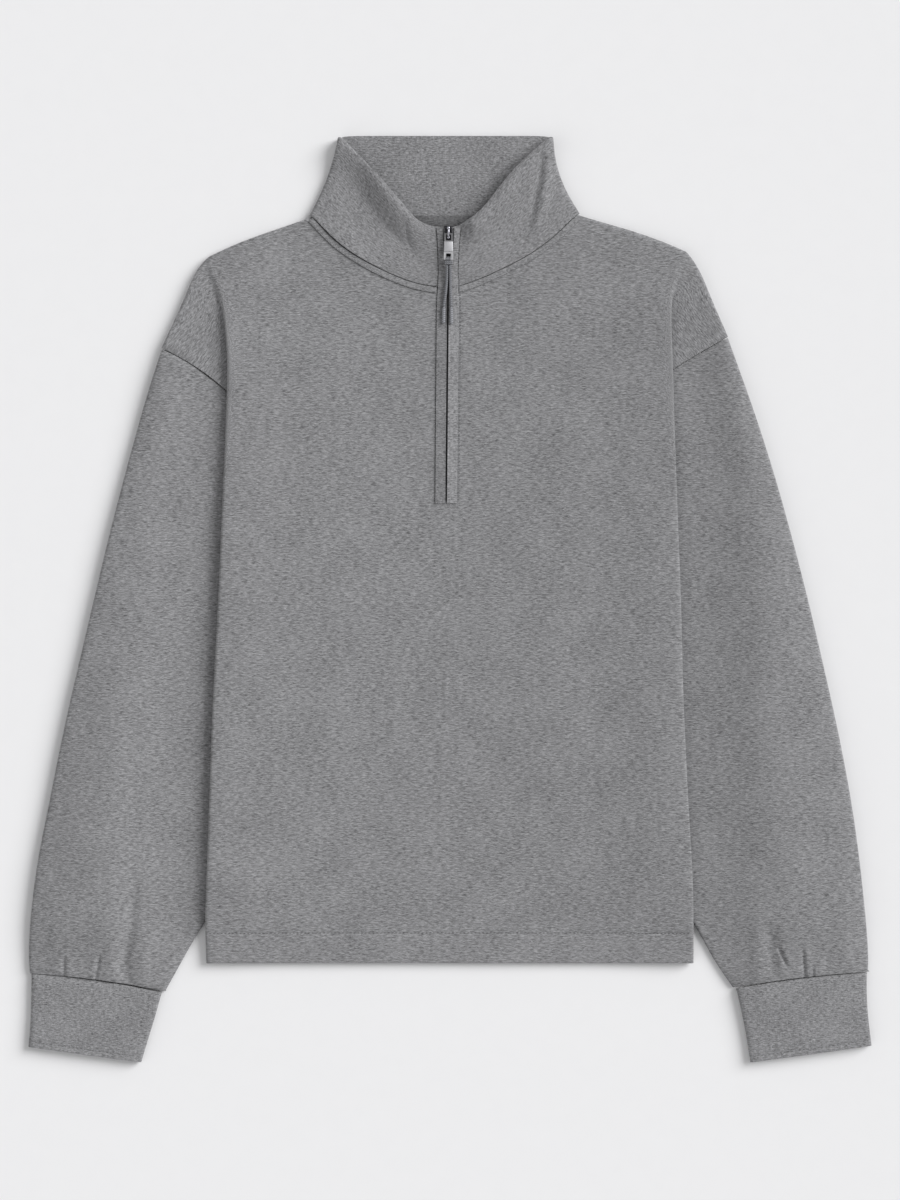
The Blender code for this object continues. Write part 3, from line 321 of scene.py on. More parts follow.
# Where the body's columns start at the hem, as distances out.
HEM_OUT = (3.0, 12.5, 32.0, 55.0, 78.0, 100.0, 120.0, 137.0, 152.0, 167.0, 182.0, 198.0)
BACK_TOP_OUT = (0.0, 38.0, 78.0, 111.0, 140.0, 168.0, 197.0)
LEFT = Half(
    "left",
    -1,
    edge=(
        (-298.0, 199.8), (-262.0, 200.4), (-180.0, 197.4), (-83.0, 194.0), (0.0, 189.4), (81.0, 186.1),
        (150.0, 182.8), (194.0, 182.0), (217.0, 183.3), (233.0, 185.3), (252.0, 189.4), (264.0, 195.0),
        (279.0, 201.5),
    ),
    outline=(
        (115.6, 314.5), (123.0, 310.0), (151.7, 299.7), (183.3, 288.6), (197.6, 280.4), (208.3, 268.1),
        (215.5, 252.0), (222.2, 236.2), (230.0, 219.5), (236.4, 205.8),
    ),
    collar=(
        Seam(3.2, 255.6, 4.9, 3.0, 303.6, 8.6),
        Seam(12.4, 255.8, 4.9, 12.0, 304.2, 8.7),
        Seam(27.9, 258.3, 4.9, 25.4, 307.5, 8.8),
        Seam(47.6, 265.7, 5.0, 37.7, 320.6, 8.9),
        Seam(68.9, 276.3, 5.1, 51.7, 337.8, 8.8),
        Seam(86.9, 287.8, 5.3, 66.4, 354.2, 8.2),
        Seam(98.0, 297.6, 5.4, 77.5, 365.4, 7.3),
        Seam(106.5, 306.7, 5.6, 84.5, 372.4, 6.3),
        Seam(111.9, 312.5, 5.6, 88.6, 376.4, 5.6),
    ),
    armhole=Armhole(168.5, 279.0, 8.0, 26.0, 26.5),
    rings=(
        Ring(236.3, 204.3, 154.8, 139.6, 8.0),
        Ring(248.5, 167.5, 138.0, 100.0, 6.0),
        Ring(261.5, 120.5, 128.5, 65.0, 1.0),
        Ring(277.0, 62.5, 123.0, 15.5, 0.0),
        Ring(290.5, 5.5, 121.5, -33.5, 0.0),
        Ring(303.5, -50.0, 123.0, -83.0, 0.0),
        Ring(317.0, -107.5, 130.5, -136.0, 0.0),
        Ring(328.0, -165.0, 143.5, -183.0, 0.0),
        Ring(338.0, -212.5, 164.0, -220.5, 0.0),
        Ring(343.0, -251.0, 193.5, -253.5, 0.0),
        Ring(345.0, -277.0, 208.5, -277.0, 1.0),
        Ring(345.2, -293.5, 218.5, -295.0, 2.0),
        Ring(344.4, -306.4, 233.0, -321.2, 2.4),
    ),
    side_bow=3.3,
    cuff=(
        Ring(343.0, -306.9, 235.8, -322.3, 2.4),
        Ring(343.2, -330.0, 241.0, -341.5, 1.5),
        Ring(344.0, -349.5, 247.0, -361.0, 0.7),
        Ring(345.5, -366.5, 252.5, -379.3, 0.0),
    ),
)
RIGHT = Half(
    "right",
    1,
    edge=(
        (-298.0, 199.6), (-230.0, 198.9), (-165.0, 194.8), (-83.0, 190.9), (0.0, 189.0), (81.0, 185.8),
        (150.0, 183.3), (194.0, 182.3), (217.0, 181.2), (233.0, 180.8), (252.0, 182.0), (264.0, 186.5),
        (280.0, 196.0),
    ),
    outline=(
        (110.7, 313.5), (123.0, 309.6), (167.3, 296.0), (189.4, 287.0), (197.6, 279.6), (205.0, 268.1),
        (211.0, 254.0), (216.5, 240.5), (222.5, 227.0), (227.8, 214.6),
    ),
    collar=(
        Seam(-0.2, 255.6, 4.9, 0.0, 303.6, 8.6),
        Seam(8.3, 255.9, 4.9, 9.8, 305.9, 8.7),
        Seam(26.2, 262.8, 4.9, 20.5, 311.6, 8.8),
        Seam(44.3, 271.4, 5.0, 31.2, 323.1, 8.9),
        Seam(62.3, 280.4, 5.1, 42.6, 339.1, 8.8),
        Seam(78.7, 291.5, 5.3, 56.6, 354.7, 8.2),
        Seam(89.5, 301.2, 5.4, 68.2, 365.2, 7.3),
        Seam(97.5, 309.0, 5.6, 76.0, 372.3, 6.3),
        Seam(103.0, 314.2, 5.6, 81.2, 376.4, 5.6),
    ),
    armhole=Armhole(186.6, 280.0, 1.5, 22.5, 14.5),
    rings=(
        Ring(227.7, 213.8, 158.7, 171.3, 1.5),
        Ring(242.5, 173.0, 141.0, 130.5, 1.0),
        Ring(260.0, 122.0, 131.0, 81.0, 0.0),
        Ring(277.0, 63.0, 124.5, 24.0, 0.0),
        Ring(292.0, 5.5, 122.0, -29.5, 0.0),
        Ring(305.0, -50.0, 123.0, -83.0, 0.0),
        Ring(318.0, -107.5, 129.5, -136.0, 0.0),
        Ring(329.0, -165.0, 143.5, -183.0, 0.0),
        Ring(335.5, -212.5, 164.0, -220.5, 0.0),
        Ring(339.5, -251.0, 191.0, -251.5, 0.0),
        Ring(342.0, -277.0, 206.0, -277.0, 0.5),
        Ring(342.8, -293.5, 215.5, -295.0, 1.5),
        Ring(342.4, -305.2, 231.5, -318.2, 2.0),
    ),
    side_bow=5.7,
    cuff=(
        Ring(341.6, -305.9, 234.0, -319.0, 2.0),
        Ring(341.4, -328.0, 238.6, -339.0, 1.3),
        Ring(343.2, -347.5, 242.6, -359.5, 0.6),
        Ring(345.5, -365.5, 245.5, -379.3, 0.0),
    ),
)
HALVES = (LEFT, RIGHT)


# By height: the share of the front's lift, and the strips' outer and inner edges beside the zip.
LIFT_AT_SHOULDER = ((168.0, 1.0), (215.0, 0.75), (252.0, 0.45), (279.0, 0.15), (315.0, 0.0))
LIFT_AT_HEM = ((-298.0, 0.35), (-262.0, 0.95), (-230.0, 1.0))
STRIP_OUTER = ((78.0, 9.2), (240.0, 9.4), (268.0, 7.9), (292.0, 9.0), (304.0, 10.2))
STRIP_INNER = ((262.0, 0.75), (281.0, 1.2), (289.0, 4.3), (300.0, 4.3), (304.0, 4.9))

# Curves, and how high each layer lies


def smooth(value):
    """0 to 1 with a soft start and end."""
    value = min(max(value, 0.0), 1.0)
    return value * value * (3 - 2 * value)


def mix(a, b, share):
    return a + (b - a) * share


def between(table, key):
    """The second column of a table, read at a key between its rows."""
    keys, values = zip(*sorted(row[:2] for row in table))
    return float(np.interp(key, keys, values))


def on_curve(points, place):
    """A point of the smooth curve through points, at a place counted in points."""
    points = np.asarray(points, float)
    low = int(min(max(math.floor(place), 0), len(points) - 2))
    t = place - low
    before = points[low - 1] if low > 0 else 2 * points[0] - points[1]
    after = points[low + 2] if low + 2 < len(points) else 2 * points[-1] - points[-2]
    start, end = points[low], points[low + 1]
    return 0.5 * (
        2 * start
        + (end - before) * t
        + (2 * before - 5 * start + 4 * end - after) * t * t
        + (3 * start - before - 3 * end + after) * t**3
    )


def outward(points, place, step=0.05):
    """The unit normal of a curve in the plan, on the side away from the body."""
    along = on_curve(points, place + step) - on_curve(points, place - step)
    along /= np.hypot(*along)
    return np.array((-along[1], along[0]))


def place_at(points, out):
    """The place on an outline where it passes a distance out."""
    outs = [point[0] for point in points]
    return float(np.interp(out, outs, range(len(outs))))


def zip_x(y):
    """The zip's middle line drifts a little to the left on its way down."""
    return mix(ZIP_FOOT_X, SLIDER_X, (y - ZIP_FOOT_Y) / (ZIP_TOP_Y - ZIP_FOOT_Y))


def inner_line(half, y):
    """How far out the hidden inner edge of the sleeve lies."""
    return between([(ring.inner_y, ring.inner_out) for ring in half.rings], y)


def edge_out(half, y):
    return between(half.edge, y)


def front_height(half, out, y):
    """The middle of the front's wall: low in the middle, raised where the sleeve lies under it."""
    ramp = smooth((out - inner_line(half, y) + RAMP_FRONT) / (RAMP_FRONT - 5))
    top = between(LIFT_AT_SHOULDER, y)
    foot = between(LIFT_AT_HEM, y)
    raised = FRONT_LOW + FRONT_LIFT * ramp * top * foot
    return max(raised, back_height(half, out, y) + CLOTH + 0.6) if y < half.armhole.edge_y else raised


def back_height(half, out, y):
    """The middle of the back's wall: flat on the surface, and over the sleeve at the sides."""
    return BACK_LOW + BACK_LIFT * smooth((out - inner_line(half, y) + RAMP_BACK) / RAMP_BACK)


def sleeve_top(half, out, y, across, inner_height=UNDER_BODY):
    """The sleeve's upper side, across from 0 at its outer to 1 at its inner edge."""
    rim = mix(SLEEVE_EDGE, inner_height, across)
    own = rim + (SLEEVE_CROWN - rim) * (1 - abs(1 - 2 * across) ** 2.6)
    beside = max(out - edge_out(half, y), HEM_Y - y) - CLEAR_OF_BODY
    under = UNDER_BODY + (SLEEVE_CROWN - UNDER_BODY + 0.2) * smooth(beside / RISE_BESIDE_BODY)
    return min(own, under)


def zip_height(y):
    """The middle of the cloth's wall along the zip, on the front and up the collar."""
    if y < ZIP_ROWS[-1]:
        return mix(FRONT_LOW, NECK_Z, smooth(1 - (ZIP_ROWS[-1] - y) / NECK_RISE))
    return mix(NECK_Z, RIM_Z, (y - ZIP_ROWS[-1]) / (RIM_Y - ZIP_ROWS[-1]))


def zip_top(y):
    """The upper side of the cloth along the zip: the collar is doubled, the front is not."""
    return zip_height(y) + mix(HALF, DOUBLED / 2, smooth((y - COLLAR_STARTS) / COLLAR_BLEND))


# Cloth


class Cage:
    """The points and faces of one open surface in millimetres, and where each point lies on the cloth."""

    def __init__(self):
        self.points = []
        self.grain = []
        self.faces = []

    def row(self, points, grain=None):
        first = len(self.points)
        self.points.extend(tuple(point) for point in points)
        self.grain.extend(grain or [point[:2] for point in points])
        return list(range(first, len(self.points)))

    def fill(self, rows, turn=False):
        """Faces between each row of points and the next, as many as the shorter one has."""
        for low, high in zip(rows, rows[1:]):
            for a, b, c, d in zip(low, low[1:], high[1:], high):
                self.faces.append((d, c, b, a) if turn else (a, b, c, d))


def mesh_of(name, points, faces):
    """A mesh in metres from points in millimetres."""
    mesh = bpy.data.meshes.new(name)
    mesh.from_pydata([[value * MM for value in point] for point in points], [], faces)
    return mesh


def apply_modifier(obj, kind, **settings):
    """Adds a modifier, sets it and applies it."""
    modifier = obj.modifiers.new(kind.lower(), kind)
    for name, value in settings.items():
        setattr(modifier, name, value)
    bpy.ops.object.select_all(action="DESELECT")
    bpy.context.view_layer.objects.active = obj
    obj.select_set(True)
    bpy.ops.object.modifier_apply(modifier=modifier.name)


def points_of(mesh):
    flat = np.empty(len(mesh.vertices) * 3)
    mesh.vertices.foreach_get("co", flat)
    return flat.reshape(-1, 3)


def set_points(mesh, points):
    mesh.vertices.foreach_set("co", np.asarray(points, float).ravel())
    mesh.update()


def new_piece(name, mesh, finish, slot, body="garment", nodes=()):
    """A finished piece, on its body, in place of its plain nodes."""
    obj = bpy.data.objects.new(name, mesh)
    bpy.context.scene.collection.objects.link(obj)
    obj.data.materials.append(finish)
    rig.ride(obj, body)
    if nodes:
        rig.replaces(obj, *nodes)
    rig.slot(obj, slot)
    return obj


def sew(name, cage, wall, levels, shape, finish, nodes, offset=0.0, rim=0.6):
    """A cloth piece: the cage smoothed, shaped, given its wall and its rounded cut edges."""
    mesh = mesh_of(name, cage.points, cage.faces)
    layer = mesh.uv_layers.new(name="grain")
    for loop in mesh.loops:
        layer.data[loop.index].uv = [value * MM for value in cage.grain[loop.vertex_index]]
    obj = new_piece(name, mesh, finish, "jersey", nodes=nodes)
    apply_modifier(obj, "SUBSURF", levels=levels, render_levels=levels, boundary_smooth="PRESERVE_CORNERS")
    set_points(obj.data, shape(points_of(obj.data) / MM) * MM)
    apply_modifier(obj, "SOLIDIFY", thickness=wall * MM, offset=offset)
    apply_modifier(obj, "BEVEL", width=rim * MM, segments=2, limit_method="ANGLE",
                   angle_limit=SHARP_EDGE, use_clamp_overlap=True)
    obj.data.shade_smooth()
    return obj


def repaint(node_name, finish, slot):
    """A plain node of the frame, kept with a finished material."""
    obj = frame["nodes"][node_name]
    obj.data.materials.clear()
    obj.data.materials.append(finish)
    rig.slot(obj, slot)
    return obj


# How the layers stand: the same order as in the frame, but plumper away from the zip.


def soft_step(value, low, high):
    """0 below low and 1 above high, for a whole array."""
    share = np.clip((value - low) / (high - low), 0, 1)
    return share * share * (3 - 2 * share)


# How much the cloth is raised, and the bands where that sets in: by distance from the middle line, or by
# height for the armpit, the cuff and the hem.
BODY_SHARE = 0.65
BODY_BAND = (115, 196)
SLEEVE_BAND = (204, 240)
LEFT_SLEEVE_BAND = (222, 285)
RIGHT_SLEEVE_BAND = (184, 258)
ARMPIT_BAND = (60, 185)
CUFF_BAND = (-306, -255)
HEM_BAND = (HEM_Y, HEM_Y + 75)


def plump(points, is_sleeve=False):
    """How many times higher than in the frame the cloth stands; a sleeve lies low beside the body."""
    beside = np.abs(points[:, 0] + 1.0)
    on_body = BODY_SHARE * (0.3 + 0.7 * soft_step(points[:, 1], *HEM_BAND))
    on_sleeve = 0.2 + 0.8 * soft_step(points[:, 1], *CUFF_BAND)
    outside = soft_step(beside, *SLEEVE_BAND)
    share = soft_step(beside, *BODY_BAND) * (on_body + (on_sleeve - on_body) * outside)
    if is_sleeve:
        left = 0.1 + 0.9 * soft_step(beside, *LEFT_SLEEVE_BAND)
        rise = np.where(points[:, 0] < 0, left, soft_step(beside, *RIGHT_SLEEVE_BAND))
        share += (on_sleeve * rise - share) * (1 - soft_step(points[:, 1], *ARMPIT_BAND))
    return 1 + bpy.context.scene.sweatshirt_sizes.plumpness * share


def raise_wall(points, base=HALF, is_sleeve=False):
    """Raises the middle of a wall; what lies lowest stays on the floor."""
    raised = base + (points[:, 2] - base) * plump(points, is_sleeve)
    return np.where(points[:, 2] > base, raised, points[:, 2])


Crease = namedtuple("Crease", "route width depth lean", defaults=(0.0,))


def route_distance(points, route):
    """For each point in plan: the signed distance to a route and how far along it, from 0 to 1."""
    route = np.asarray(route, float)
    lengths = np.linalg.norm(np.diff(route, axis=0), axis=1)
    starts = np.concatenate([[0], np.cumsum(lengths)])
    best = np.full(len(points), 1e9)
    side = np.zeros(len(points))
    along = np.zeros(len(points))
    for a, b, start, length in zip(route, route[1:], starts, lengths):
        step = (b - a) / length
        local = points[:, :2] - a
        t = local @ step
        held = np.clip(t, 0, length)
        gap = local - held[:, None] * step
        distance = np.hypot(gap[:, 0], gap[:, 1])
        nearer = distance < best
        best = np.where(nearer, distance, best)
        side = np.where(nearer, np.sign(local[:, 0] * step[1] - local[:, 1] * step[0]), side)
        along = np.where(nearer, (start + held) / starts[-1], along)
    return best * side, along


def crease_depth(points, creases):
    """The sum of soft troughs (depth below 0) and ridges, each fading out at its ends."""
    total = np.zeros(len(points))
    share = bpy.context.scene.sweatshirt_sizes.crease_depth
    for crease in creases:
        distance, along = route_distance(points, crease.route)
        across = distance / crease.width
        fade = soft_step(np.minimum(along, 1 - along), 0, 0.3)
        profile = np.exp(-across * across) * (1 + crease.lean * across)
        total += share * crease.depth * profile * fade
    return total


def unevenness(points, size, height, seed):
    """A soft, wide unevenness that cloth has as it lies."""
    return np.array([
        noise.noise(Vector((x / size, y / size, seed))) * height for x, y in points[:, :2]
    ])


def seam_dip(points, route, width=2.4, depth=0.9):
    """The shallow valley along a sewn seam."""
    distance, _ = route_distance(points, route)
    return -depth * np.exp(-(distance / width) ** 2)


def on_top(points, low, high):
    """1 on the cloth's upper layer and 0 on what lies under it."""
    return soft_step(points[:, 2], low, high)


# Cut and sewn forms

EDGE_TURN = (45.0, 0.0, -45.0, -90.0)
LIP = 0.5
MIN_TUCK = 0.2
PIT_ROW_Y = 140.0
BACK_INSET = EDGE_RADIUS + HALF + LIP + SEAM_ROOM
TIP_SHARES = (0.33, 0.66, 1.0)
COLLAR_SIDE = (0.966, 0.259)
NECK_CORNER = (0.97, -0.24)
OUTER_ARC = (-90.0, -50.0, -15.0, 20.0, 55.0, 90.0)
INNER_ARC = (90.0, 45.0, 0.0, -45.0, -90.0)
TOP_SHARES = (0.06, 0.14, 0.22, 0.29, 0.36, 0.43, 0.5, 0.57, 0.64, 0.71, 0.78, 0.86, 0.94)
BOTTOM_SHARES = (0.82, 0.6, 0.4, 0.18)
COLLAR_UP = (0.0, 0.25, 0.5, 0.75, 1.0)
SIDE_TURN = (58.0, 26.0, -8.0, -45.0)
PLACKET_YS = (78.2, 112.0, 142.0, 170.0, 198.0, 224.0, 238.0, 248.5, 251.0, 254.0, 262.0, 268.0, 276.0,
              283.0, 289.0, 296.0, 303.6)


SLIDER_TILT = math.atan2(8.65 - NECK_Z, ZIP_TOP_Y - 255.6)


def turned(half, points):
    """Points given as (out, y, z) on one half, in the garment's own axes."""
    return [(half.sign * out, y, z) for out, y, z in points]


def on_shoulder(half, share, inset):
    """A point inside the shoulder's outline, by its share of the way to the corner, and the normal."""
    out = mix(half.outline[0][0] + 2, edge_out(half, half.armhole.top_y) - 4.5, share)
    place = place_at(half.outline, out)
    normal = outward(half.outline, place)
    return on_curve(half.outline, place) - normal * inset, normal


def front_top(half, column):
    """The upper end of a front column: on the neckline, or inside the shoulder's rounded edge."""
    if column <= NECK:
        line = [seam[:3] for seam in half.collar]
        low, high = (on_curve(line, min(max(column + step, 0), NECK))[:2] for step in (-0.3, 0.3))
        along = (high - low) / np.hypot(*(high - low))
        down = np.array((along[1], -along[0]))
        seam = on_curve(line, column)
        return seam[:2] + down * SEAM_ROOM, seam[2], down
    point, normal = on_shoulder(half, (column - NECK) / (LAST - NECK), EDGE_RADIUS + HALF)
    return point, NECK_Z, -normal


def zip_edge(half, y, column):
    """The slit's edge is column 0 and the strip's outer edge is column 1."""
    width = between(STRIP_OUTER, y)
    return half.sign * zip_x(y) + (SLIT if column == 0 else width)


def front_point(half, row, column):
    """One point of the front's body, from the hem, row 0, to the neckline or shoulder."""
    top, top_z, down = front_top(half, column)
    share = column / LAST
    if row < len(ROWS):
        middle_y, edge_y = ROWS[row]
    else:
        middle_y = ZIP_ROWS[row - len(ROWS)]
        edge_y = fold_y(half, row) if row >= ARMHOLE_ROW else side_y(half, row)
    middle_share = (middle_y - HEM_Y) / (ZIP_ROWS[-1] - HEM_Y)
    edge_share = (edge_y - HEM_Y) / (fold_y(half, LAST_ROW) - HEM_Y)
    y = HEM_Y + (top[1] - HEM_Y) * mix(middle_share, edge_share, share)
    up = (y - HEM_Y) / (top[1] - HEM_Y)
    out = mix(HEM_OUT[column], top[0], up)
    if row >= LAST_ROW - 1 and column <= NECK:
        out, y = top if row == LAST_ROW else top + down * NECK_STRIP
    if row == LAST_ROW:
        out, y = top
    if column < 2 and y < half.collar[0].seam_y:
        out = zip_edge(half, y, column)
    rise = smooth(1 - (top[1] - y) / NECK_RISE)
    return out, y, mix(front_height(half, out, y), top_z, rise)


def fold_y(half, row):
    """The height at which a row above the armhole meets the body's edge."""
    fold = FOLDS[LAST_ROW - row]
    return mix(half.armhole.top_y, half.armhole.edge_y, fold.along)


def side_y(half, row):
    """The height at which a row below the armhole meets the body's edge."""
    return ROWS[row].edge_y if row < len(ROWS) else mix(ROWS[-1].edge_y, half.armhole.edge_y, 0.5)


def edge_column(half, row):
    """The last body column of a row: the point where the side edge starts to turn under."""
    if row < ARMHOLE_ROW:
        y = side_y(half, row)
        upper = front_height(half, edge_out(half, y), y)
        turn = (upper - back_height(half, edge_out(half, y) - 3, y)) / 2
        return edge_out(half, y) - turn - HALF, y, upper, turn
    fold = FOLDS[LAST_ROW - row]
    if row == LAST_ROW:
        (out, y), upper, _ = front_top(half, LAST)
    else:
        y = fold_y(half, row)
        out, upper = edge_out(half, y), fold.upper
        angle = math.radians(fold.angle)
        out -= (fold_radius(half, fold) + HALF) * math.sin(min(angle, math.pi / 2))
    return out, y, upper, fold_radius(half, fold)


def tip_height(half, fold, out, y, across):
    """The middle of the wall on the drop-shoulder point, beside the pleat."""
    settled = smooth(fold.along / 0.6)
    return mix(EDGE_MID, sleeve_top(half, out, y, across) - HALF, settled)


def fold_radius(half, fold):
    """The pleat's bend, so that two turns and the tucked layer drop from the upper layer to the tip."""
    angle = math.radians(fold.angle)
    lower = mix(EDGE_MID, UNDER_BODY - HALF, smooth(fold.along / 0.6))
    fall = max(fold.upper - lower - fold.tucked * half.armhole.tuck * math.sin(angle), 0.15)
    return fall / (2 * (1 - math.cos(angle)))


def pleat(half, row, steps=4):
    """From the body's edge, under it, back inwards and out again to the drop-shoulder point."""
    fold = FOLDS[LAST_ROW - row]
    out, y, upper, radius = edge_column(half, row)
    angle = math.radians(fold.angle)
    points = []
    for step in range(1, steps + 1):
        turn = angle * step / steps
        points.append((out + radius * math.sin(turn), y, upper - radius * (1 - math.cos(turn))))
    start_out, _, start_z = points[-1]
    tuck = max(fold.tucked * half.armhole.tuck, MIN_TUCK)
    end_out = start_out + tuck * math.cos(angle)
    end_y = y - fold.tucked * half.armhole.drop
    end_z = start_z - tuck * math.sin(angle)
    points.append((mix(start_out, end_out, 0.5), mix(y, end_y, 0.5), mix(start_z, end_z, 0.5)))
    for step in range(steps + 1):
        turn = angle * (1 - step / steps)
        points.append((
            end_out + radius * (math.sin(angle) - math.sin(turn)),
            end_y,
            end_z - radius * (math.cos(turn) - math.cos(angle)),
        ))
    return points


def tip_start(half, fold_index):
    """Where the front's pleat ends and the drop-shoulder point begins, on a row of FOLDS."""
    return pleat(half, LAST_ROW - fold_index)[-1]


def tip_outline(half, fold_index):
    """The place on the outline where a row of the drop-shoulder point ends, and the normal there."""
    corner = place_at(half.outline, edge_out(half, half.armhole.top_y) + 1.0)
    place = mix(corner, len(half.outline) - 1, FOLDS[fold_index].outer)
    return on_curve(half.outline, place), outward(half.outline, place)


def tip_row(half, fold_index, start, shares, inset):
    """Plan points of a drop-shoulder row from its start to the outline, bowed like the armhole seam."""
    end, normal = tip_outline(half, fold_index)
    end = end - normal * inset
    bow = half.armhole.bow * FOLDS[fold_index].along ** 2
    points = []
    for share in shares:
        out, y = mix(np.asarray(start), end, share)
        points.append((out, y + 4 * bow * share * (1 - share)))
    return points


def round_under(center, normal, middle_z, radius, angles):
    """Points round a rounded edge, from angle 90 on top through 0 outside to -90 beneath."""
    points = []
    for angle in map(math.radians, angles):
        reach = radius * math.cos(angle)
        points.append((center[0] + normal[0] * reach, center[1] + normal[1] * reach,
                       middle_z + radius * math.sin(angle)))
    return points


def edge_turn(center, normal, middle_z, radius):
    """A panel's edge rolled under, with a narrow flat lip where the other panel is sewn to it."""
    lip = (center[0] - normal[0] * LIP, center[1] - normal[1] * LIP, middle_z - radius)
    return round_under(center, normal, middle_z, radius, EDGE_TURN) + [lip]


def tip_grain(half, point, along):
    """The cloth of the drop-shoulder point is turned on the front's, about the shoulder corner."""
    corner = np.array((half.sign * edge_out(half, half.armhole.top_y), half.armhole.top_y))
    angle = half.sign * math.radians(50) * smooth(2 * along)
    x, y = np.array(point[:2]) - corner
    cos, sin = math.cos(angle), math.sin(angle)
    return corner[0] + x * cos - y * sin, corner[1] + x * sin + y * cos


def inset_outline(half, out, inset):
    """The point of the shoulder's outline, moved in from the edge, at a distance out."""
    places = np.linspace(2, len(half.outline) - 2, 60)
    line = [on_curve(half.outline, place) - outward(half.outline, place) * inset for place in places]
    line = np.array(line)
    return float(np.interp(out, line[:, 0], line[:, 1]))


def front_half(cloth, half):
    """One half of the front: the body, its side edge, the pleat, the shoulder point and their rims."""
    edge_mid = (EDGE_MID + BACK_LOW) / 2
    radius = EDGE_RADIUS
    flip = half.sign > 0
    rows = []
    for row in range(LAST_ROW + 1):
        points = [front_point(half, row, column) for column in range(LAST)]
        out, y, upper_z, turn = edge_column(half, row)
        points.append((out, y, upper_z))
        grain = [point[:2] for point in turned(half, points)]
        beyond = []
        if row < ARMHOLE_ROW:
            beyond = edge_turn((out, y), (1, 0), upper_z - turn, turn)
            grain += [point[:2] for point in turned(half, beyond)]
        else:
            fold = FOLDS[LAST_ROW - row]
            beyond = pleat(half, row)
            start = beyond[-1]
            plan = tip_row(half, LAST_ROW - row, start[:2], TIP_SHARES, radius + HALF)
            for share, (out, y) in zip(TIP_SHARES, plan):
                height = tip_height(half, fold, out, y, 1 - share)
                height = mix(mix(start[2], EDGE_MID, share), height, smooth(fold.along / 0.6))
                beyond.append((out, y, mix(height, EDGE_MID, smooth(share * 3 - 2))))
            if row == LAST_ROW:
                beyond = [(out, min(y, inset_outline(half, out, radius + HALF)), z) for out, y, z in beyond]
            grain += [tip_grain(half, point, fold.along) for point in turned(half, beyond)]
        rows.append(cloth.row(turned(half, points + beyond), grain))
    cloth.fill(rows, flip)
    rim_points = []
    normals = []
    alongs = []
    for column in range(NECK, LAST + 1):
        rim_points.append(rows[-1][column])
        normals.append(NECK_CORNER if column == NECK else -front_top(half, column)[2])
        alongs.append(0.0)
    for index in rows[-1][LAST + 1:]:
        rim_points.append(index)
        normals.append(tip_outline(half, 0)[1])
        alongs.append(0.0)
    for fold_index in range(1, len(FOLDS)):
        rim_points.append(rows[LAST_ROW - fold_index][-1])
        normals.append(tip_outline(half, fold_index)[1])
        alongs.append(FOLDS[fold_index].along)
    rims = []
    for index, normal, along in zip(rim_points, normals, alongs):
        out, y, _ = cloth.points[index]
        points = turned(half, edge_turn((abs(out), y), normal, edge_mid, radius))
        rims.append([index] + cloth.row(points, [tip_grain(half, point, along) for point in points]))
    cloth.fill(rims, not flip)
    return rows


def front_panel():
    cloth = Cage()
    left_rows = front_half(cloth, LEFT)
    right_rows = front_half(cloth, RIGHT)
    for row in range(len(ROWS)):
        corners = (left_rows[row][0], left_rows[row + 1][0], right_rows[row + 1][0], right_rows[row][0])
        cloth.faces.append(corners)
    return cloth


def ramp_outs(ramp_top, edge):
    """How far out the points of a back row lie: flat, then up a ramp, then over the sleeve."""
    foot = ramp_top - RAMP_BACK
    return (0.0, foot / 3, foot * 2 / 3, foot, ramp_top, (ramp_top + edge) / 2, edge)


def back_row(half, row):
    """How far out the points of a back row below the armhole lie."""
    edge = edge_column(half, row)[0] - LIP - SEAM_ROOM
    return ramp_outs(min(inner_line(half, side_y(half, row)) - 3.5, edge - 6), edge)


def back_half(cloth, half, middle):
    """One half of the back, which lies on the surface and runs over the sleeve at the side."""
    last = len(BACK_TOP_OUT) - 1
    rows = []
    for row in range(ARMHOLE_ROW):
        _, y, upper, turn = edge_column(half, row)
        points = [(out, y, back_height(half, out + 3.5, y)) for out in back_row(half, row)]
        points[-1] = (points[-1][0], y, upper - 2 * turn)
        rows.append(middle_row(cloth, half, middle, points))
    for fold_index in reversed(range(len(FOLDS))):
        rows.append(middle_row(cloth, half, middle, back_upper_row(half, fold_index, last)))
    cloth.fill(rows, half.sign < 0)


def back_upper_row(half, fold_index, last):
    """A back row beside the armhole: the body, a step down at the pleat, and the shoulder point."""
    fold = FOLDS[fold_index]
    start_out, start_y, _ = tip_start(half, fold_index)
    wall = start_out - fold_radius(half, fold) - CLOTH - 0.8
    low_outs = ramp_outs(wall - 5, wall)
    foot = low_outs[3]
    pit_y = tip_start(half, len(FOLDS) - 1)[1]
    points = []
    for column, low_out in enumerate(low_outs):
        top_out, top_y = back_top(half, column)
        out = mix(top_out, low_out, fold.along)
        y = mix(top_y, mix(PIT_ROW_Y, pit_y, column / last), fold.along)
        rise = smooth((out - foot) / RAMP_BACK) * fold.back_rise
        points.append((out, y, BACK_LOW + BACK_LIFT * rise))
    if fold_index:
        points[-1] = (wall, start_y, points[-1][2])
    foot_out, foot_y, _ = points[-1]
    foot_out += mix(1.2, 0.02, fold.back_rise)
    points.append((foot_out, foot_y, BACK_LOW))
    plan = tip_row(half, fold_index, (foot_out, foot_y), TIP_SHARES, BACK_INSET)
    return points + [(out, y, BACK_LOW) for out, y in plan]


def middle_row(cloth, half, middle, points):
    """A row of back points whose first one is shared by both halves."""
    if half.sign < 0:
        made = cloth.row(turned(half, points))
        middle.append(made[0])
        return made
    shared = middle.pop(0)
    return [shared] + cloth.row(turned(half, points[1:]))


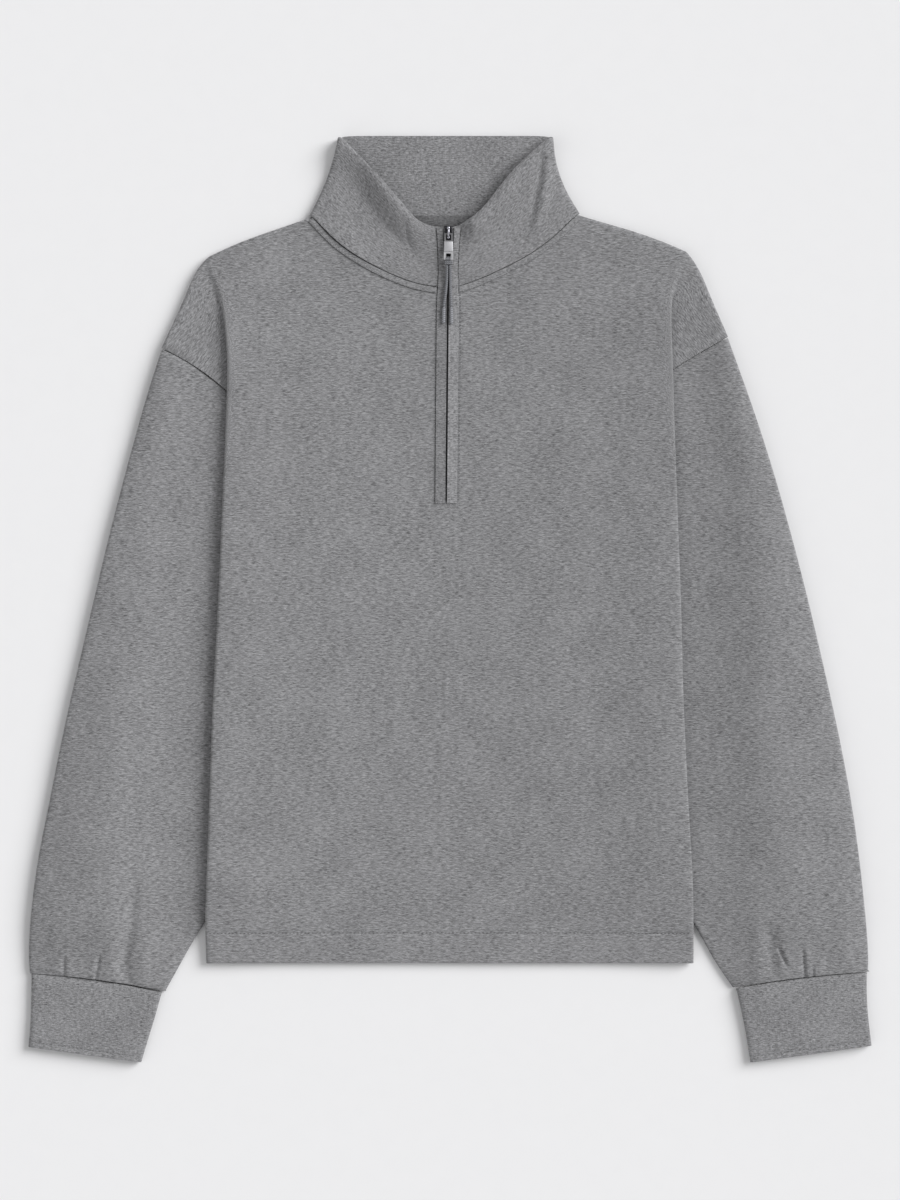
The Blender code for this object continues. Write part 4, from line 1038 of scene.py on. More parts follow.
def back_neck(half, out):
    """The height of the seam between the back and the collar."""
    share = min(out / half.collar[-1].seam_out, 1.0)
    return mix(BACK_NECK_Y, half.collar[-1].seam_y + 2 * SEAM_GAP, share)


def back_top(half, column):
    """The upper end of a back column: the back neck, then the shoulder."""
    corner_out = half.collar[-1].seam_out - 0.9
    out = BACK_TOP_OUT[column]
    if out < BACK_TOP_OUT[3]:
        out *= corner_out / BACK_TOP_OUT[3]
        return out, back_neck(half, out) + 1.0
    if out == BACK_TOP_OUT[3]:
        return corner_out, half.collar[-1].seam_y - 1.1
    share = (out - BACK_TOP_OUT[3]) / (BACK_TOP_OUT[-1] - BACK_TOP_OUT[3])
    return tuple(on_shoulder(half, share, BACK_INSET)[0])


def back_panel():
    cloth = Cage()
    middle = []
    back_half(cloth, LEFT, middle)
    back_half(cloth, RIGHT, middle)
    return cloth


def tube_ring(ring, outer_height, inner_height, top):
    """A flattened ring of the tube's outside: outer arc, upper side, inner arc, flat underside."""
    outer = np.array((ring.outer_out, ring.outer_y))
    inner = np.array((ring.inner_out, ring.inner_y))
    span = np.hypot(*(inner - outer))
    inwards = (inner - outer) / span
    outer_radius, inner_radius = outer_height / 2, inner_height / 2

    def plan(distance):
        share = distance / span
        point = outer + inwards * distance
        return point[0], point[1] + 4 * ring.bow * share * (1 - share)

    points = []
    for angle in map(math.radians, OUTER_ARC):
        out, y = plan(outer_radius * (1 - math.cos(angle)))
        points.append((out, y, outer_radius * (1 + math.sin(angle))))
    length = span - outer_radius - inner_radius
    for share in TOP_SHARES:
        distance = outer_radius + length * share
        out, y = plan(distance)
        points.append((out, y, top(out, y, distance / span)))
    for angle in map(math.radians, INNER_ARC):
        out, y = plan(span - inner_radius * (1 - math.cos(angle)))
        points.append((out, y, inner_radius * (1 + math.sin(angle))))
    for share in BOTTOM_SHARES:
        out, y = plan(outer_radius + length * share)
        points.append((out, y, 0.0))
    return points


def with_seam_rings(rings, places):
    """The rings, and more of them at places counted in rings, so that the cloth can dip at a seam."""
    return [Ring(*on_curve(rings, place)) for place in sorted([*range(len(rings)), *places])]


def tube(half, rings):
    """A tube through rings of points, open at both ends."""
    cloth = Cage()
    made = []
    for points in rings:
        ring = cloth.row(turned(half, points))
        made.append(ring + ring[:1])
    cloth.fill(made, half.sign < 0)
    return cloth


def sleeve(half):
    last = len(half.rings) - 1
    rings = []
    for ring in with_seam_rings(half.rings, (0.08, last - 0.5)):
        clear = max(ring.inner_out - edge_out(half, ring.inner_y), HEM_Y - ring.inner_y) - CLEAR_OF_BODY
        inner_height = mix(UNDER_BODY, SLEEVE_EDGE, smooth(clear / RISE_BESIDE_BODY))

        def top(out, y, across, inner_height=inner_height):
            return sleeve_top(half, out, y, across, inner_height)

        rings.append(tube_ring(ring, SLEEVE_EDGE, inner_height, top))
    return tube(half, rings)


def cuff(half):
    rings = []
    for ring in with_seam_rings(half.cuff, (0.12, len(half.cuff) - 1.2)):
        rings.append(tube_ring(ring, CUFF_HEIGHT - 0.4, CUFF_HEIGHT - 0.4, cuff_top))
    return tube(half, rings)


def cuff_top(out, y, across):
    return CUFF_HEIGHT - 0.4 * abs(1 - 2 * across) ** 2


def collar():
    """A doubled strip from the left zip edge round the neck to the right zip edge, its grain along it."""
    cloth = Cage()
    rows = []
    for up in COLLAR_UP:
        back_z = DOUBLED / 2
        sides = []
        for half in HALVES:
            front = [collar_point(half, column, up) for column in range(NECK + 1)]
            out, y, z = front[-1]
            radius = (z - back_z) / 2
            arc = round_under((out, y), COLLAR_SIDE, z - radius, radius, SIDE_TURN)
            sides.append(turned(half, front + arc))
        left_end, right_end = sides[0][NECK][0], sides[1][NECK][0]
        back = []
        for x in np.linspace(left_end, right_end, 7):
            back.append((x, mix(back_neck(LEFT if x < 0 else RIGHT, abs(x)), COLLAR_TOP_Y, up), back_z))
        points = sides[0] + back + sides[1][::-1]
        steps = np.linalg.norm(np.diff(np.array(points), axis=0), axis=1)
        lengths = np.concatenate([[0], np.cumsum(steps)])
        lengths -= lengths[-1] / 2
        rows.append(cloth.row(points, [(length, up * 60.0) for length in lengths]))
    cloth.fill(rows)
    return cloth


def collar_point(half, column, up):
    """The middle of the collar's wall on one front, up from the neck seam to the rim."""
    seam = half.collar[column]
    out = mix(seam.seam_out, seam.rim_out, up)
    y = mix(seam.seam_y, seam.rim_y, up)
    z = mix(seam.seam_z, seam.rim_z, up)
    if column < 2:
        out = zip_edge(half, y, column)
    bowed = half.side_bow * smooth((column - 3) / (NECK - 3)) * 4 * up * (1 - up)
    return out - bowed, y, z


def neck_strip(half):
    """The topstitched strip under the collar seam, from the front's own two top rows."""
    cloth = Cage()
    raise_by = HALF + SEAM_GAP + STRIP_WALL / 2
    rows = []
    for row in (LAST_ROW - 1, LAST_ROW):
        points = [front_point(half, row, column) for column in range(1, NECK + 1)]
        points[0] = (points[0][0] + SEAM_ROOM, points[0][1], points[0][2])
        points = [(out, y - SEAM_GAP, z) for out, y, z in points]
        rows.append(cloth.row(turned(half, [(out, y, z + raise_by) for out, y, z in points])))
    cloth.fill(rows, half.sign > 0)
    return cloth


def placket_inner(y):
    """The strips part round the slider."""
    return between(STRIP_INNER, y)


def placket_strip(half):
    """The strip beside the zip: up the front and the collar, on the upper side of both."""
    cloth = Cage()
    rows = []
    for y in PLACKET_YS:
        z = zip_top(y) + STRIP_GAP + STRIP_WALL / 2
        inner = half.sign * zip_x(y) + placket_inner(y)
        outer = zip_edge(half, y, 1) - 0.3
        shares = (0.0, 0.5, 1.0)
        rows.append(cloth.row(turned(half, [(mix(inner, outer, share), y, z) for share in shares])))
    cloth.fill(rows, half.sign > 0)
    return cloth


def slope_frame(y, z, tilt):
    """A plane tilted about X: its own x, along and up, with its origin at (0, y, z)."""
    cos, sin = math.cos(tilt), math.sin(tilt)
    return lambda x, along, up: (x, y + along * cos - up * sin, z + along * sin + up * cos)


def slider_frame():
    """The top plate's upper side, at the pivot."""
    return slope_frame(PIVOT_Y, zip_height(PIVOT_Y) + DOUBLED / 2 + STRIP_GAP + PLATE, SLIDER_TILT)


def pull_frame():
    """The pull tab's plane, from the pivot down to the bar that the cord wraps."""
    pivot_z = slider_frame()(0, 0, PIVOT_ABOVE_PLATE)[2]
    bar_z = zip_top(BAR_Y) + BAR_RISE
    return slope_frame(PIVOT_Y, pivot_z, math.atan2(pivot_z - bar_z, PIVOT_Y - BAR_Y))


def strand_start():
    """The height of the knot's lower face, where both strands leave it."""
    return pull_frame()(0, BAR_Y - PIVOT_Y - KNOT_FOOT - 2.5 * SEAM_GAP, -0.2)


def strand_route(strand):
    """Out of the knot, down to the strips and along them, a tenth of a millimetre above."""
    _, start_y, start_z = strand_start()
    route = [(strand.start_x, start_y, start_z)]
    for x, y in strand.points:
        lying = zip_top(y + 3) + 2.2 * SEAM_GAP + STRIP_WALL + CORD / 2
        share = smooth((start_y - y) / 9.0)
        route.append((x, y, mix(start_z, lying, share)))
    return route


def smooth_route(points, spacing):
    """Points read from the smooth curve through a route's own points."""
    points = np.asarray(points, float)
    length = np.linalg.norm(np.diff(points, axis=0), axis=1).sum()
    count = max(int(round(length / spacing)), 2)
    return [tuple(on_curve(points, place)) for place in np.linspace(0, len(points) - 1, count + 1)]


# The two free strands: each a route from the knot down over the strips, and its tip.
Strand = namedtuple("Strand", "name start_x points tip")
STRANDS = (
    Strand("left", -2.5, ((-2.55, 268.0), (-2.75, 260.0), (-3.6, 250.0), (-4.7, 242.0), (-4.95, 238.9)),
           ((-5.0, 238.5), (-5.3, 225.5))),
    Strand("right", 0.1, ((0.2, 268.0), (0.3, 260.0), (0.45, 250.0), (0.8, 242.0), (0.95, 238.9)),
           ((0.97, 238.5), (1.15, 224.7))),
)


# Materials


def connect(tree, made, **inputs):
    """Sets a shader node's inputs, by name or number, to values or to other nodes' output sockets."""
    for name, value in inputs.items():
        socket = made.inputs[int(name[1:])] if name[1:].isdigit() else made.inputs[name.replace("_", " ")]
        if isinstance(value, bpy.types.NodeSocket):
            tree.links.new(value, socket)
        else:
            socket.default_value = value


def node(tree, kind, settings=None, **inputs):
    """A shader node with its settings and inputs."""
    made = tree.nodes.new("ShaderNode" + kind)
    for name, value in (settings or {}).items():
        setattr(made, name, value)
    connect(tree, made, **inputs)
    return made


def new_material(name):
    made = bpy.data.materials.new(name)
    made.use_nodes = True
    return made, made.node_tree, made.node_tree.nodes["Principled BSDF"]


def toned(colour, factor):
    return [value * factor for value in colour]


def shade_between(tree, share, dark, light):
    """A colour between two, by a share from 0 to 1; each is three numbers or another node's output."""
    ends = [end if isinstance(end, bpy.types.NodeSocket) else (*end, 1) for end in (dark, light)]
    return node(tree, "Mix", {"data_type": "RGBA"}, _0=share, _6=ends[0], _7=ends[1]).outputs[2]


def speckle(tree, scale, detail):
    """Fine noise all over the object, from 0 to 1."""
    place = node(tree, "TexCoord").outputs["Object"]
    return node(tree, "TexNoise", Vector=place, Scale=scale, Detail=detail).outputs["Fac"]


def streaks(tree, cloth, length, width, warp):
    """Squiggly streaks along the cloth's own first direction, from 0 to 1; sizes in metres."""
    wander = node(tree, "TexNoise", Vector=cloth, Scale=1 / (length * 0.7), Detail=1.0).outputs["Color"]
    moved = node(tree, "VectorMath", {"operation": "SUBTRACT"}, _0=wander, _1=(0.5, 0.5, 0.5)).outputs[0]
    scaled = node(tree, "VectorMath", {"operation": "SCALE"}, _0=moved, Scale=warp).outputs[0]
    bent = node(tree, "VectorMath", {"operation": "ADD"}, _0=cloth, _1=scaled).outputs[0]
    spread = node(tree, "Mapping", Vector=bent, Scale=(1 / length, 1 / width, 1)).outputs[0]
    return node(tree, "TexNoise", Vector=spread, Scale=1.0, Detail=3.0, Roughness=0.65).outputs["Fac"]


def ramp(tree, value, low, high):
    """A value's range from low to high, spread over 0 to 1."""
    return node(tree, "MapRange", Value=value, From_Min=low, From_Max=high).outputs[0]


def turned_cloth(tree, degrees):
    """Places on the cloth, with the first direction along the knitted rows or turned from them."""
    place = node(tree, "UVMap", {"uv_map": "grain"})
    return node(tree, "Mapping", Vector=place.outputs[0], Rotation=(0, 0, math.radians(degrees))).outputs[0]


def jersey(name, cross=0.0, length=1.0, contrast=1.0, tone=1.0):
    """Melange jersey: light and dark fibres drawn out along the knitted rows, and a fine knit relief."""
    colours = bpy.context.scene.sweatshirt_colours
    base = toned(colours.jersey, tone)
    made, tree, shader = new_material(name)
    cloth = turned_cloth(tree, 0.0)
    broad = ramp(tree, streaks(tree, cloth, 0.0066 * length, 0.0013, 0.0034), 0.36, 0.64)
    fine = ramp(tree, streaks(tree, cloth, 0.0036 * length, 0.00075, 0.002), 0.35, 0.65)
    across = ramp(tree, streaks(tree, turned_cloth(tree, 90.0), 0.005, 0.0011, 0.003), 0.36, 0.64)
    clouds = node(tree, "TexNoise", Vector=cloth, Scale=30.0, Detail=3.0).outputs["Fac"]
    patches = ramp(tree, clouds, 0.3, 0.7)
    share = node(tree, "Math", {"operation": "MULTIPLY"}, _0=fine, _1=0.52).outputs[0]
    for layer, weight in ((broad, 0.37 - cross), (across, cross), (patches, 0.11)):
        share = node(tree, "Math", {"operation": "MULTIPLY_ADD"}, _0=layer, _1=weight, _2=share).outputs[0]
    spread = colours.melange * contrast
    mixed = shade_between(tree, share, toned(base, 1 - spread), toned(base, 1 + spread))
    fleck = ramp(tree, streaks(tree, cloth, 0.0034, 0.0008, 0.001), 0.62, 0.7)
    rows = node(tree, "TexWave", {"wave_type": "BANDS", "bands_direction": "Y"}, Vector=cloth, Scale=190.0,
                Distortion=2.5, Detail=2.0, Detail_Scale=2.0)
    relief = node(tree, "Math", {"operation": "MULTIPLY_ADD"}, _0=rows.outputs["Fac"], _1=0.5, _2=broad)
    bump = node(tree, "Bump", Height=relief.outputs[0], Strength=0.35, Distance=0.0004)
    flecked = shade_between(tree, fleck, mixed, toned(base, 1.9))
    connect(tree, shader, Base_Color=flecked, Normal=bump.outputs[0], Roughness=0.92,
            Sheen_Weight=0.8, Sheen_Roughness=0.3, Specular_IOR_Level=0.2)
    return made


def thread(name, tone):
    """Sewing thread: matt and slightly twisted."""
    base = toned(bpy.context.scene.sweatshirt_colours.jersey, tone)
    made, tree, shader = new_material(name)
    colour = shade_between(tree, speckle(tree, 1500.0, 1.0), toned(base, 0.85), toned(base, 1.15))
    connect(tree, shader, Base_Color=colour, Roughness=0.8)
    return made


def metal(name, colour, roughness):
    """Plated metal with fine handling marks."""
    made, tree, shader = new_material(name)
    marks = speckle(tree, 900.0, 3.0)
    uneven = node(tree, "MapRange", Value=marks, To_Min=roughness * 0.8, To_Max=roughness * 1.25)
    bump = node(tree, "Bump", Height=marks, Strength=0.08, Distance=0.0002)
    connect(tree, shader, Base_Color=shade_between(tree, marks, toned(colour, 0.9), toned(colour, 1.1)),
            Roughness=uneven.outputs[0], Normal=bump.outputs[0], Metallic=1.0)
    return made


def woven_tape(name, colour):
    """The zip's tape: a fine dark weave."""
    made, tree, shader = new_material(name)
    place = node(tree, "TexCoord")
    weave = node(tree, "TexWave", {"bands_direction": "DIAGONAL"}, Vector=place.outputs["Object"],
                 Scale=700.0)
    shades = shade_between(tree, weave.outputs["Fac"], toned(colour, 0.7), toned(colour, 1.3))
    connect(tree, shader, Base_Color=shades, Roughness=0.85)
    return made


def braided(name, colour):
    """Round cord: strands laid slantwise around it, over the cord's own length."""
    made, tree, shader = new_material(name)
    place = node(tree, "UVMap", {"uv_map": "cord"})
    across = node(tree, "Mapping", Vector=place.outputs[0], Scale=(3.0, 900.0, 1.0))
    turned_place = node(tree, "Mapping", Vector=across.outputs[0], Rotation=(0, 0, 0.6))
    strands = node(tree, "TexWave", {"bands_direction": "Y"}, Vector=turned_place.outputs[0], Scale=0.25,
                   Distortion=0.6, Detail=1.0).outputs["Fac"]
    bump = node(tree, "Bump", Height=strands, Strength=0.5, Distance=0.0004)
    connect(tree, shader, Base_Color=shade_between(tree, strands, toned(colour, 0.55), toned(colour, 1.25)),
            Normal=bump.outputs[0], Roughness=0.75)
    return made


# Lines of the cut, in plan


def ring_line(half, ring, lift, shares):
    """A seam across a ring of the sleeve, by shares of the way from its outer to its inner end."""
    points = []
    for share in shares:
        out, y = mix(np.array(ring[:2]), np.array(ring[2:4]), share)
        points.append((half.sign * out, y + lift + 4 * ring.bow * share * (1 - share)))
    return points


def armhole_line(half):
    """The seam between the shoulder point and the sleeve, from its hidden to its outer end."""
    return ring_line(half, half.rings[0], SEAM_GAP, np.linspace(1, 0, 9))


def cuff_line(half):
    """The seam between sleeve and cuff, from its outer to its inner end."""
    return ring_line(half, half.rings[-1], -SEAM_GAP, np.linspace(0, 1, 9))


def cuff_end(half, inset):
    """A line across the cuff, inside its open end."""
    last = half.cuff[-1]
    before = half.cuff[-2]
    outer = np.array((last.outer_out, last.outer_y))
    inner = np.array((last.inner_out, last.inner_y))
    up = np.array((before.outer_out, before.outer_y)) - outer
    up /= np.hypot(*up)
    ends = (outer + up * inset + (inner - outer) * 0.02, inner + up * inset + (outer - inner) * 0.02)
    return [(half.sign * out, y) for out, y in ends]


def neck_line(half, below):
    """The collar seam on one half, moved down onto the front."""
    points = []
    for column in range(1, NECK + 1):
        (out, y), _, down = front_top(half, column)
        points.append((half.sign * (out + down[0] * below), y + down[1] * below))
    return points


def hem_line(above):
    return [(x, HEM_Y + above) for x in np.linspace(-197.5, 197.5, 25)]


FRONT_CREASES = (
    Crease(((112, 30), (114, -110), (111, -262)), 14, -0.8),
    Crease(((-150, 60), (-146, -60), (-150, -200)), 30, 0.5),
    Crease(((-60, 240), (-40, 205), (-22, 190)), 14, -0.5, 0.2),
    Crease(((60, 262), (42, 226), (24, 205)), 13, -0.5, -0.2),
    Crease(((-14, 88), (-30, 62), (-62, 40)), 14, -0.5, 0.3),
    Crease(((10, 84), (30, 60), (58, 44)), 14, -0.4, -0.3),
    Crease(((-184, 150), (-168, 120), (-140, 100)), 12, -0.7, 0.2),
    Crease(((184, 160), (170, 132), (146, 112)), 12, -0.6, -0.2),
)
LEFT_SLEEVE_CREASES = (
    Crease(((-314.8, -289), (-315, -298), (-315.6, -316)), 1.3, -1.3, 0.6),
    Crease(((-311.2, -290), (-311.6, -298), (-312, -316)), 2.4, 0.4),
    Crease(((-286, -288), (-288, -299), (-291.4, -319)), 1.4, -1.6, -0.6),
    Crease(((-290.6, -288), (-292.4, -299), (-296, -319)), 2.6, 0.5),
    Crease(((-256, -216), (-260, -265), (-265.7, -294), (-261, -345)), 6.0, -3.0, 0.5),
    Crease(((-256, -60), (-257, -150), (-258, -250)), 9, -1.1, 0.4),
    Crease(((-246, -262), (-250, -295), (-247, -320)), 7, 1.3),
    Crease(((-275, -268), (-277, -290), (-275, -316)), 6, 1.1),
    Crease(((-330, -262), (-331, -285), (-332, -309)), 6, -0.8),
    Crease(((-215, 158), (-228, 120), (-236, 70)), 15, -0.9, 0.3),
    Crease(((-200, 120), (-216, 60), (-222, 0)), 18, 0.7),
)
RIGHT_SLEEVE_CREASES = (
    Crease(((267.5, -281), (271, -289), (277, -303)), 1.4, -1.6, 0.6),
    Crease(((272.5, -282), (276, -291), (281, -303)), 2.4, 0.5),
    Crease(((287.8, -284), (288.8, -296), (291, -320)), 1.4, -1.6, -0.6),
    Crease(((292, -285), (293, -297), (295, -320)), 2.4, 0.5),
    Crease(((297, -298), (297, -307), (297.4, -322)), 1.3, -1.4),
    Crease(((262, -262), (264.9, -300), (267.3, -318)), 6.0, -2.0, 0.3),
    Crease(((306, -284), (307, -298), (308, -311)), 5.5, -0.8),
    Crease(((322, -272), (324, -290), (325, -309)), 6.0, 0.8),
    Crease(((250, -250), (252, -285), (250, -316)), 6.0, 0.9),
    Crease(((206, 168), (222, 120), (233, 60)), 15, -0.8, -0.3),
    Crease(((262, 20), (280, -90), (286, -200)), 20, -0.7),
)
LEFT_RIM = ((-102, 389), (-79, 369), (-61, 351), (-49, 334), (-36.6, 320), (-27, 309), (-14, 303))
RIGHT_RIM = (
    (-22, 296), (8, 307), (18.5, 311), (30, 321.5), (39.7, 334), (51, 348.5), (68, 365), (84, 380),
    (104, 399),
)
COLLAR_CREASES = (
    Crease(((-114, 396), (-81, 366.5), (-63, 349), (-51.5, 332), (-39, 317.5), (-28.5, 306), (-12, 299)),
           17, 8.5),
    Crease(((-94, 392), (-81, 360), (-70, 335), (-59, 306), (-47, 284), (-38, 266), (-32, 248)), 15, -5.0),
    Crease(((-39, 318), (-36, 309), (-33.8, 295), (-29, 281), (-22, 266)), 1.8, -1.5, 0.5),
    Crease(((-118, 322), (-92, 296), (-62, 272), (-34, 254)), 11, 1.6),
    Crease(((-24, 290), (10, 303), (20, 308), (32, 319), (42, 332), (53, 346), (70, 363), (84, 377),
            (108, 402)), 12, 8),
    Crease(LEFT_RIM, 2.3, -1.7),
    Crease(RIGHT_RIM, 2.3, -1.7),
    Crease(((84, 384), (80, 362), (79, 343.6), (75, 320.6), (66, 290)), 3.6, 2.6),
    Crease(((77, 376), (74, 362), (73, 343.6), (69, 320.6), (60, 290)), 3.6, -1.3),
    Crease(((70, 336), (46, 304), (12, 256)), 13, -1.6),
)
HIGHEST = 24.5


# Pieces


def build_front(finish):
    cage = front_panel()

    def shape(points):
        top = on_top(points, 3.6, 4.2)
        lowered = crease_depth(points, FRONT_CREASES) + unevenness(points, 70, 0.5, 1.0)
        lowered += seam_dip(points, hem_line(HEM_STITCHES), 1.6, 0.45)
        for half in HALVES:
            lowered += seam_dip(points, armhole_line(half), 2.6, 0.8) * on_top(points, 2.4, 3.0)
        raised = raise_wall(points)
        away = np.clip((np.abs(points[:, 0] + 1) - 12) / 12, 0, 1)
        points[:, 2] = raised + top * lowered * away
        return points

    return sew("front_panel", cage, CLOTH, 2, shape, finish, ["front"])


def build_back(finish, inside):
    def shape(points):
        at_neck = soft_step(points[:, 1], BACK_NECK_Y - 14, BACK_NECK_Y - 3) * (np.abs(points[:, 0]) < 106)
        points[:, 2] = raise_wall(points) + 1.5 * at_neck
        return points

    panel = sew("back_panel", back_panel(), CLOTH, 2, shape, finish, ["back"])
    # The back's upward faces inside the neck take the jersey at 0.62 of its tone: painted shade in the hollow of the
    # neck.
    panel.data.materials.append(inside)
    for polygon in panel.data.polygons:
        x, y, z = polygon.center / MM
        if polygon.normal.z > 0.2 and y > BACK_NECK_Y - 30 and abs(x) < 90 and z < CLOTH + 4:
            polygon.material_index = 1
    return panel


def build_sleeve(half, finish):
    creases = LEFT_SLEEVE_CREASES if half is LEFT else RIGHT_SLEEVE_CREASES

    def shape(points):
        lowered = crease_depth(points, creases) + unevenness(points, 60, 0.7, 3.0 + half.sign)
        seams = seam_dip(points, armhole_line(half)) + seam_dip(points, cuff_line(half), 2.6, 1.0)
        raised = raise_wall(points, CLOTH, True) + on_top(points, 2.6, 3.6) * (lowered + seams)
        points[:, 2] = np.maximum(raised, points[:, 2] * 0.8)
        return points

    name = f"sleeve_{half.name}"
    return sew(name + "_jersey", sleeve(half), CLOTH, 3, shape, finish, [name], -1)


def build_cuff(half, finish):
    def shape(points):
        lowered = seam_dip(points, cuff_line(half), 2.4, 1.2)
        lowered += seam_dip(points, cuff_end(half, CUFF_STITCHES), 1.3, 0.5)
        lowered += unevenness(points, 24, 0.35, 7.0 + half.sign)
        points[:, 2] = raise_wall(points, CUFF_WALL, True) + on_top(points, 3.4, 5.0) * lowered
        return points

    name = f"cuff_{half.name}"
    return sew(name + "_jersey", cuff(half), CUFF_WALL, 3, shape, finish, [name], -1, 1.0)


def build_collar(finish):
    def shape(points):
        top = on_top(points, 4.4, 5.0) * soft_step(np.abs(points[:, 0] + 1), 9, 21)
        lifted = raise_wall(points, DOUBLED / 2) + top * crease_depth(points, COLLAR_CREASES)
        lowest = np.minimum(points[:, 2], DOUBLED * 1.5 + 0.2)
        points[:, 2] = np.where(top > 0, np.clip(lifted, lowest, HIGHEST - DOUBLED / 2), lifted)
        return points

    return sew("stand_collar", collar(), DOUBLED, 3, shape, finish, ["collar"], 0.0, 1.2)


def surface_below(names):
    """Looks down on the finished pieces: the height of the uppermost one at a place."""
    trees = []
    for name in names:
        mesh = bpy.data.objects[name].data
        points = [vertex.co.copy() for vertex in mesh.vertices]
        trees.append(BVHTree.FromPolygons(points, [polygon.vertices for polygon in mesh.polygons]))

    def height(x, y):
        hits = [tree.ray_cast(Vector((x * MM, y * MM, 0.1)), Vector((0, 0, -1))) for tree in trees]
        heights = [hit[0].z / MM for hit in hits if hit[0] is not None]
        return max(heights) if heights else None

    return height


def build_strips(finish, beside_zip):
    """The narrow strips, laid on the finished front and collar."""
    below = surface_below(["front_panel", "stand_collar"])

    def sew_strip(name, cage, node_name, cloth):
        def shape(points):
            lift = SEAM_GAP * 0.5 + STRIP_WALL / 2
            for point in points:
                found = below(point[0], point[1])
                point[2] = point[2] if found is None else found + lift
            return points

        return sew(name, cage, STRIP_WALL, 3, shape, cloth, [node_name], 0.0, 0.3)

    # The zip strips' own finishes carry painted shade on the left strip and painted light on the right one.
    for half, toned in zip(HALVES, beside_zip):
        sew_strip(f"neck_strip_{half.name}_jersey", neck_strip(half), f"neck_strip_{half.name}", finish)
        sew_strip(f"zip_strip_{half.name}_jersey", placket_strip(half), f"zip_strip_{half.name}", toned)


def hard_part(add, scale=(1, 1, 1), place=(0, 0, 0), **settings):
    """A part made by an operator, with its turn, scale and place applied."""
    bpy.ops.object.select_all(action="DESELECT")
    add(**settings)
    obj = bpy.context.object
    obj.scale = scale
    obj.location = place
    bpy.ops.object.transform_apply(location=True, rotation=True, scale=True)
    return obj


def taken_apart(obj):
    """The points and faces of a small part, which is then removed."""
    points = points_of(obj.data)
    faces = [tuple(polygon.vertices) for polygon in obj.data.polygons]
    mesh = obj.data
    bpy.data.objects.remove(obj)
    bpy.data.meshes.remove(mesh)
    return points, faces


def stitch_shape():
    """One stitch: a short thread that dips into the cloth at both ends, along X, in millimetres."""
    obj = hard_part(bpy.ops.mesh.primitive_cylinder_add, vertices=6, radius=0.5, depth=1.0,
                    rotation=(0, math.pi / 2, 0))
    apply_modifier(obj, "SUBSURF", levels=1, render_levels=1)
    return taken_apart(obj)


def stitch_row(name, route, below, finish, pitch, length, width):
    """Stitches at an even pitch along a route, each one lying on the cloth below it."""
    shape, shape_faces = stitch_shape()
    route = np.asarray(route, float)
    steps = np.linalg.norm(np.diff(route, axis=0), axis=1)
    places = np.concatenate([[0], np.cumsum(steps)])
    points, faces = [], []
    for distance in np.arange(pitch / 2, places[-1], pitch):
        ends = []
        for where in (distance - length / 2, distance + length / 2):
            x = np.interp(where, places, route[:, 0])
            y = np.interp(where, places, route[:, 1])
            ends.append((x, y, below(x, y)))
        if None in (ends[0][2], ends[1][2]) or abs(ends[0][2] - ends[1][2]) > 1.2:
            continue
        start, end = np.array(ends[0]), np.array(ends[1])
        along = end - start
        side = np.cross((0, 0, 1.0), along)
        side /= np.linalg.norm(side)
        up = np.cross(along / np.linalg.norm(along), side)
        first = len(points)
        for x, y, z in shape:
            bow = (1 - 4 * x * x) * 0.12
            points.append(start + along * (x + 0.5) + side * y * width + up * (z * width + bow + 0.02))
        faces.extend(tuple(first + index for index in face) for face in shape_faces)
    mesh = mesh_of(name, points, faces)
    mesh.shade_smooth()
    return new_piece(name, mesh, finish, "jersey")


def build_tab(finish, ring_painted_shade):
    """The tab: its ring and eye from the frame's own part, edges softened, and a raised plate between."""
    mesh = frame["nodes"]["zip_pull"].data.copy()
    obj = bpy.data.objects.new("tab", mesh)
    bpy.context.scene.collection.objects.link(obj)
    mesh.transform(frame["nodes"]["zip_pull"].matrix_world)
    work = bmesh.new()
    work.from_mesh(mesh)
    bmesh.ops.remove_doubles(work, verts=work.verts, dist=0.00001)
    bmesh.ops.dissolve_limit(work, angle_limit=math.radians(3), verts=work.verts, edges=work.edges)
    work.to_mesh(mesh)
    work.free()
    apply_modifier(obj, "BEVEL", width=0.22 * MM, segments=2, limit_method="ANGLE",
                   angle_limit=SHARP_EDGE)
    mesh = obj.data
    ring_end = (PIVOT_Y - RING_LENGTH) * MM
    work = bmesh.new()
    work.from_mesh(mesh)
    everything = work.verts[:] + work.edges[:] + work.faces[:]
    bmesh.ops.bisect_plane(work, geom=everything, plane_co=(0, ring_end, 0), plane_no=(0, 1, 0))
    work.to_mesh(mesh)
    work.free()
    bpy.data.objects.remove(obj)
    mesh.materials.clear()
    tab = new_piece("pull_tab_frame", mesh, finish, "silver", "pull", ["zip_pull"])
    # The ring's faces take the tab's silver at 0.45 of its tone: painted shade on the ring.
    tab.data.materials.append(ring_painted_shade)
    for polygon in tab.data.polygons:
        if polygon.center.y > ring_end:
            polygon.material_index = 1
    plate = rounded_block(TAB_PLATE, (SLIDER_X, TAB_PLATE_ALONG, PULL_WALL / 2 + 0.25), 0.25)
    joined("pull_tab_plate", [plate], finish, "silver", "pull", [], pull_frame())


def rounded_block(size, place, bevel, pinch=1.0):
    """A block with soft edges, in millimetres about the slider's pivot; pinch narrows its top."""
    obj = hard_part(bpy.ops.mesh.primitive_cube_add, size, place, size=1.0)
    for vertex in obj.data.vertices:
        if vertex.co.z > place[2]:
            vertex.co.x = place[0] + (vertex.co.x - place[0]) * pinch
            vertex.co.y = place[1] + (vertex.co.y - place[1]) * pinch
    apply_modifier(obj, "BEVEL", width=bevel, segments=3, limit_method="NONE")
    obj.data.shade_smooth()
    return obj


